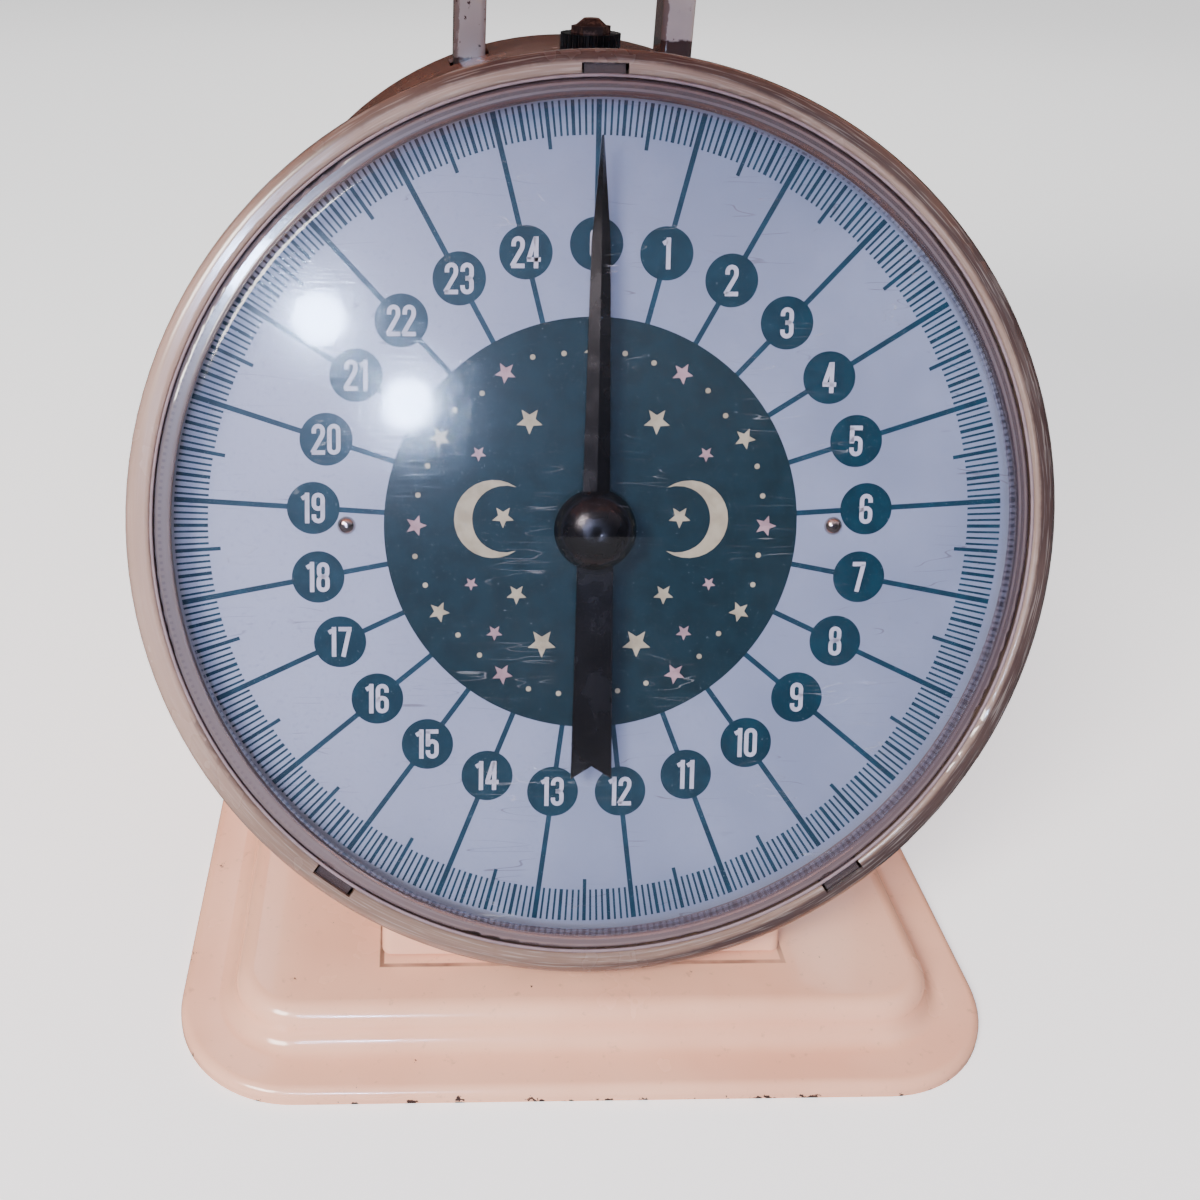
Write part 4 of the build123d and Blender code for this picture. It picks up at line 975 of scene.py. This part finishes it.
    def dress(self, pieces: Pieces) -> None:
        """Builds every print and lays it on the dial plate.

        Args:
            pieces: maker of the finished objects.
        """
        place = self.spot.matrix()
        line_ink = DialInk("blue_green_line_ink", "#16394A", "#1B4456").make()
        disc_ink = DialInk("blue_green_disc_ink", "#0D3341", "#123C4B").make()
        middle_ink = DialInk("dark_blue_green_ink", "#123039", "#0F2930").make()
        white = DialInk("reserved_white", "#C3CAD6", "#B2BAC8").make()
        cream = DialInk("cream_ink", "#B5B296", "#9F9B81").make()
        pink = DialInk("pink_ink", "#B39A9C", "#9A8286").make()
        prints = (
            ("dial_marks", self.build_marks(), line_ink),
            ("dial_pound_lines", self.build_pound_lines(), line_ink),
            ("dial_number_discs", self.build_discs(), disc_ink),
            ("dial_numbers", self.build_numbers(), white),
            ("dial_middle", self.build_middle(), middle_ink),
            ("dial_ornament_cream", self.build_ornament(True), cream),
            ("dial_ornament_pink", self.build_ornament(False), pink),
        )
        for name, mesh, ink in prints:
            pieces.finish(name, mesh, place, "stand", ink)


@dataclass
class LensSeal:
    """Thin soft ring that closes the gap between the clear cover and the turned-down lip."""

    spot: DialSpot = field(default_factory=DialSpot)
    inner: float = 98.25
    outer: float = 98.85
    low: float = 7.7
    high: float = 8.3
    segments: int = 240

    def dress(self, pieces: Pieces) -> None:
        """Turns the seal's small section once round the dial's axis.

        Args:
            pieces: maker of the finished objects.
        """
        mesh = bmesh.new()
        corners = ((self.inner, self.low), (self.outer, self.low), (self.outer, self.high), (self.inner, self.high))
        verts = [mesh.verts.new((across, 0, up)) for across, up in corners]
        edges = [mesh.edges.new((verts[i], verts[(i + 1) % 4])) for i in range(4)]
        bmesh.ops.spin(
            mesh,
            geom=[*verts, *edges],
            cent=(0, 0, 0),
            axis=(0, 0, 1),
            angle=2 * math.pi,
            steps=self.segments,
            use_merge=True,
        )
        soft = MouldedRubber("aged_soft_seal", "#8A767A", "#6E5A5E").make()
        pieces.finish("lens_seal", mesh, self.spot.matrix(), "stand", soft, smooth=True)


@dataclass
class Shell:
    """Finishes of the carried-over CAD nodes."""

    def dress(self, nodes: dict[str, bpy.types.Object], dial: Matrix) -> None:
        """Gives every CAD node its material.

        Args:
            nodes: the frame's nodes by name.
            dial: place of the dial in metres.
        """
        enamel = BakedEnamel().make()
        foot = BakedEnamel("enamel_of_the_base", edge_help=0.13, edge_high_mm=3.0, seam=(48.0, -75.3, 60.0)).make()
        # Painted shade on the posts: the left edge of each, a side face turned from the light, is darkened, and its
        # foot carries a painted shadow of the rolled rim
        left, right = (
            BakedEnamel(
                f"worn_enamel_of_the_{name}_post",
                colour,
                "#A59A92",
                chip_start=start,
                chip_mm=2.6,
                grime=0.3,
                stains=(Stain("X", edge + 1.3, edge + 0.9, "#6E5851", 0.85), Stain("Z", foot + 0.6, foot, "#3B2724", 0.95)),
            ).make()
            for name, colour, edge, foot, start in (("left", "#C2B5AA", -30.7, 203.2, 0.61), ("right", "#DACEC6", 22.5, 208.0, 0.68))
        )
        # Painted shade: the top of the drum is darkened, where it lies in the tray's shadow
        drum = BakedEnamel("enamel_of_the_drum", stains=(Stain("Z", 150.0, 192.0, "#5F463F", 0.72),)).make()
        black = GlossBlack().make()
        zinc = Metal("zinc_plated_strip", "#A9A9A6", "#6E6A62", 0.35).make()
        nickel = Metal("nickel_plated_steel", "#C9BDB4", "#6E4A3C", 0.18, stain_start=0.55).make()
        spring = Metal("oiled_spring_wire", "#77777A", "#3D3A38", 0.35).make()
        brass = Metal("turned_brass", "#C8A35A", "#7A6233", 0.3).make()
        rust = Metal("browned_steel", "#6A5248", "#33241F", 0.5, 0.6, 0.42, 0.8, (1, 1, 1)).make()
        by_slot = {
            "enamel": enamel,
            "dial_enamel": DialEnamel().make(),
            "clear_acrylic": ClearCover().make(dial),
            "black_plastic": black,
            "zinc_steel": zinc,
            "nickel_steel": nickel,
            "spring_steel": spring,
            "brass": brass,
            "rusted_steel": rust,
            "rubber": MouldedRubber().make(),
        }
        # Painted light and shade on the rolled rim: its enamel is a darker, greyer copy of the pink, painted shade over
        # real grime, and its left side, towards the lamps, is painted lighter
        paler = Stain("X", -68.0, -97.0, "#A98B7D", 0.75)
        ring = BakedEnamel("enamel_of_the_rolled_rim", "#978074", "#887064", handled_share=0.96, chip_start=0.9, stains=(paler,)).make(dial)
        special = {"base_pan": foot, "front_pan": ring, "post_left": left, "post_right": right, "housing_shell": drum}
        slots = {s["node"]: s["material_slot"] for s in frame["record"]["subparts"]}
        for name, node in nodes.items():
            material = special.get(name) or by_slot[slots[name]]
            if not node.material_slots:
                node.data.materials.append(material)
            for holder in node.material_slots:
                holder.material = material
            log.info("node %s gets %s", name, material.name)


@dataclass
class Studio:
    """Camera at the photograph's viewing angle, pale floor and soft light."""

    eye: tuple[float, float, float] = (-40.8, -297.4, 246.3)
    down_deg: float = 25.84
    right_deg: float = 2.14
    roll_deg: float = 1.05
    lens_mm: float = 38.13
    shift: tuple[float, float] = (0.12, -0.0941)

    def camera(self) -> bpy.types.Object:
        """Makes the camera and sets it.

        Returns:
            The camera.
        """
        data = bpy.data.cameras.new("photograph_camera")
        data.sensor_width = 36.0
        data.lens = self.lens_mm
        data.shift_x, data.shift_y = self.shift
        data.clip_start = 0.02
        data.clip_end = 50.0
        camera = bpy.data.objects.new("photograph_camera", data)
        turn = Matrix.Rotation(-math.radians(self.right_deg), 4, "Z")
        tip = Matrix.Rotation(QUARTER - math.radians(self.down_deg), 4, "X")
        roll = Matrix.Rotation(math.radians(self.roll_deg), 4, "Z")
        camera.matrix_world = Matrix.Translation(Vector(self.eye) * MM) @ turn @ tip @ roll
        bpy.context.scene.collection.objects.link(camera)
        bpy.context.scene.camera = camera
        return camera

    def floor(self) -> None:
        """Lays a wide pale floor that rises into nothing at the horizon."""
        mesh = bmesh.new()
        bmesh.ops.create_grid(mesh, x_segments=8, y_segments=8, size=6.0)
        data = bpy.data.meshes.new("studio_floor")
        mesh.to_mesh(data)
        mesh.free()
        f = Finish("matt_pale_paper")
        fibre = f.noise(4.0, 3.0)
        colour = f.blend(fibre, linear("#F4F3F2"), linear("#EFEEED"))
        path = add_node(f.tree, "LightPath").outputs
        glow = f.maths("MULTIPLY_ADD", path["Is Camera Ray"], 0.55, 0.15)
        paper = f.principled(Base_Color=colour, Roughness=0.9, Emission_Color=linear("#FFFFFF"), Emission_Strength=glow)
        # Mirrored in gloss the paper stays dim, as the dark front of a room would
        dim = f.principled(Base_Color=linear("#3A3A3C"), Roughness=1.0)
        both = add_node(f.tree, "MixShader", {}, {0: f.maths("MULTIPLY", path["Is Glossy Ray"], 0.96), 1: paper, 2: dim}).outputs[0]
        data.materials.append(f.end(both))
        floor = bpy.data.objects.new("studio_floor", data)
        bpy.context.scene.collection.objects.link(floor)

    def lamp(self, name: str, place: Vector, aim: Vector, size: float, power: float, colour: str = "#FFFFFF", disc: bool = False) -> None:
        """Adds one area lamp.

        Args:
            name: its name.
            place: where it hangs, in metres.
            aim: the point that it faces.
            size: its width in metres.
            power: its power in watts.
            colour: its colour.
            disc: whether it is round.
        """
        data = bpy.data.lights.new(name, "AREA")
        data.shape = "DISK" if disc else "SQUARE"
        data.size = size
        data.energy = power
        data.color = linear(colour)[:3]
        lamp = bpy.data.objects.new(name, data)
        lamp.matrix_world = Matrix.Translation(place) @ (aim - place).to_track_quat("-Z", "Y").to_matrix().to_4x4()
        bpy.context.scene.collection.objects.link(lamp)

    def glint(self, name: str, across: float, up: float, dial: Matrix, distance: float, size: float, power: float) -> None:
        """Hangs a small lamp where the cover mirrors it to the camera from a chosen point.

        Args:
            name: its name.
            across: the point on the cover, across the dial, in millimetres.
            up: the point, up the dial, in millimetres.
            dial: place of the dial in millimetres.
            distance: how far from the cover it hangs, in metres.
            size: its width in metres.
            power: its power in watts.
        """
        point = dial @ Vector((across, up, 15.5))
        dome_radius = 1825.0
        normal = (dial.to_3x3() @ Vector((across / dome_radius, up / dome_radius, 1))).normalized()
        look = (point - Vector(self.eye)).normalized()
        bounce = look - 2 * look.dot(normal) * normal
        self.lamp(name, (point * MM) + bounce * distance, point * MM, size, power, "#BCD4FF", True)

    def dress(self, dial: Matrix) -> None:
        """Sets the camera, the floor and the lights.

        Args:
            dial: place of the dial in millimetres.
        """
        self.camera()
        self.floor()
        self.room()
        middle = Vector((0, 0, 0.13))
        self.lamp("soft_key", Vector((-0.85, -1.2, 1.15)), middle, 0.6, 44.0, "#FFFAF3")
        self.lamp("soft_fill", Vector((1.5, -0.9, 1.1)), middle, 0.9, 1.2, "#F1F4FF")
        self.lamp("soft_back", Vector((0.2, 1.6, 1.5)), middle, 1.2, 11.0)
        self.glint("lamp_high", -60.7, 46.3, dial, 0.8, 0.052, 2.3)
        self.glint("lamp_low", -42.0, 28.5, dial, 0.8, 0.052, 2.3)

    def room(self) -> None:
        """Sets a room that is pale overhead and dim at the height of the reader, where the cover mirrors it."""
        world = bpy.data.worlds.new("pale_room")
        world.use_nodes = True
        tree = world.node_tree
        tree.nodes.clear()
        way = add_node(tree, "TexCoord").outputs["Generated"]
        height = add_node(tree, "SeparateXYZ", {}, {0: way}).outputs["Z"]
        level = {"Value": height, "From Min": 0.25, "From Max": 0.85, "To Min": 0.03, "To Max": 0.74}
        lit = add_node(tree, "MapRange", {"interpolation_type": "SMOOTHSTEP"}, level).outputs["Result"]
        seen = add_node(tree, "LightPath").outputs["Is Camera Ray"]
        strength = add_node(tree, "Math", {"operation": "MULTIPLY_ADD"}, {0: seen, 1: 1.3, 2: lit}).outputs[0]
        glow = add_node(tree, "Background", {}, {"Color": linear("#F2F1F4"), "Strength": strength}).outputs[0]
        add_node(tree, "OutputWorld", {}, {"Surface": glow})
        bpy.context.scene.world = world


def main() -> None:
    """Builds and dresses the scale, sub-assembly by sub-assembly."""
    logging.basicConfig(level=logging.INFO, format="%(message)s")
    spot = DialSpot()
    Studio().dress(spot.matrix())
    pieces = Pieces()
    metres = Matrix.Translation(spot.matrix().translation * MM) @ spot.matrix().to_3x3().to_4x4()
    Shell().dress(frame["nodes"], metres)
    DialPrint(spot).dress(pieces)
    LensSeal(spot).dress(pieces)
    log.info("pieces added: %s", ", ".join(pieces.names))


if __name__ == "__main__":
    main()
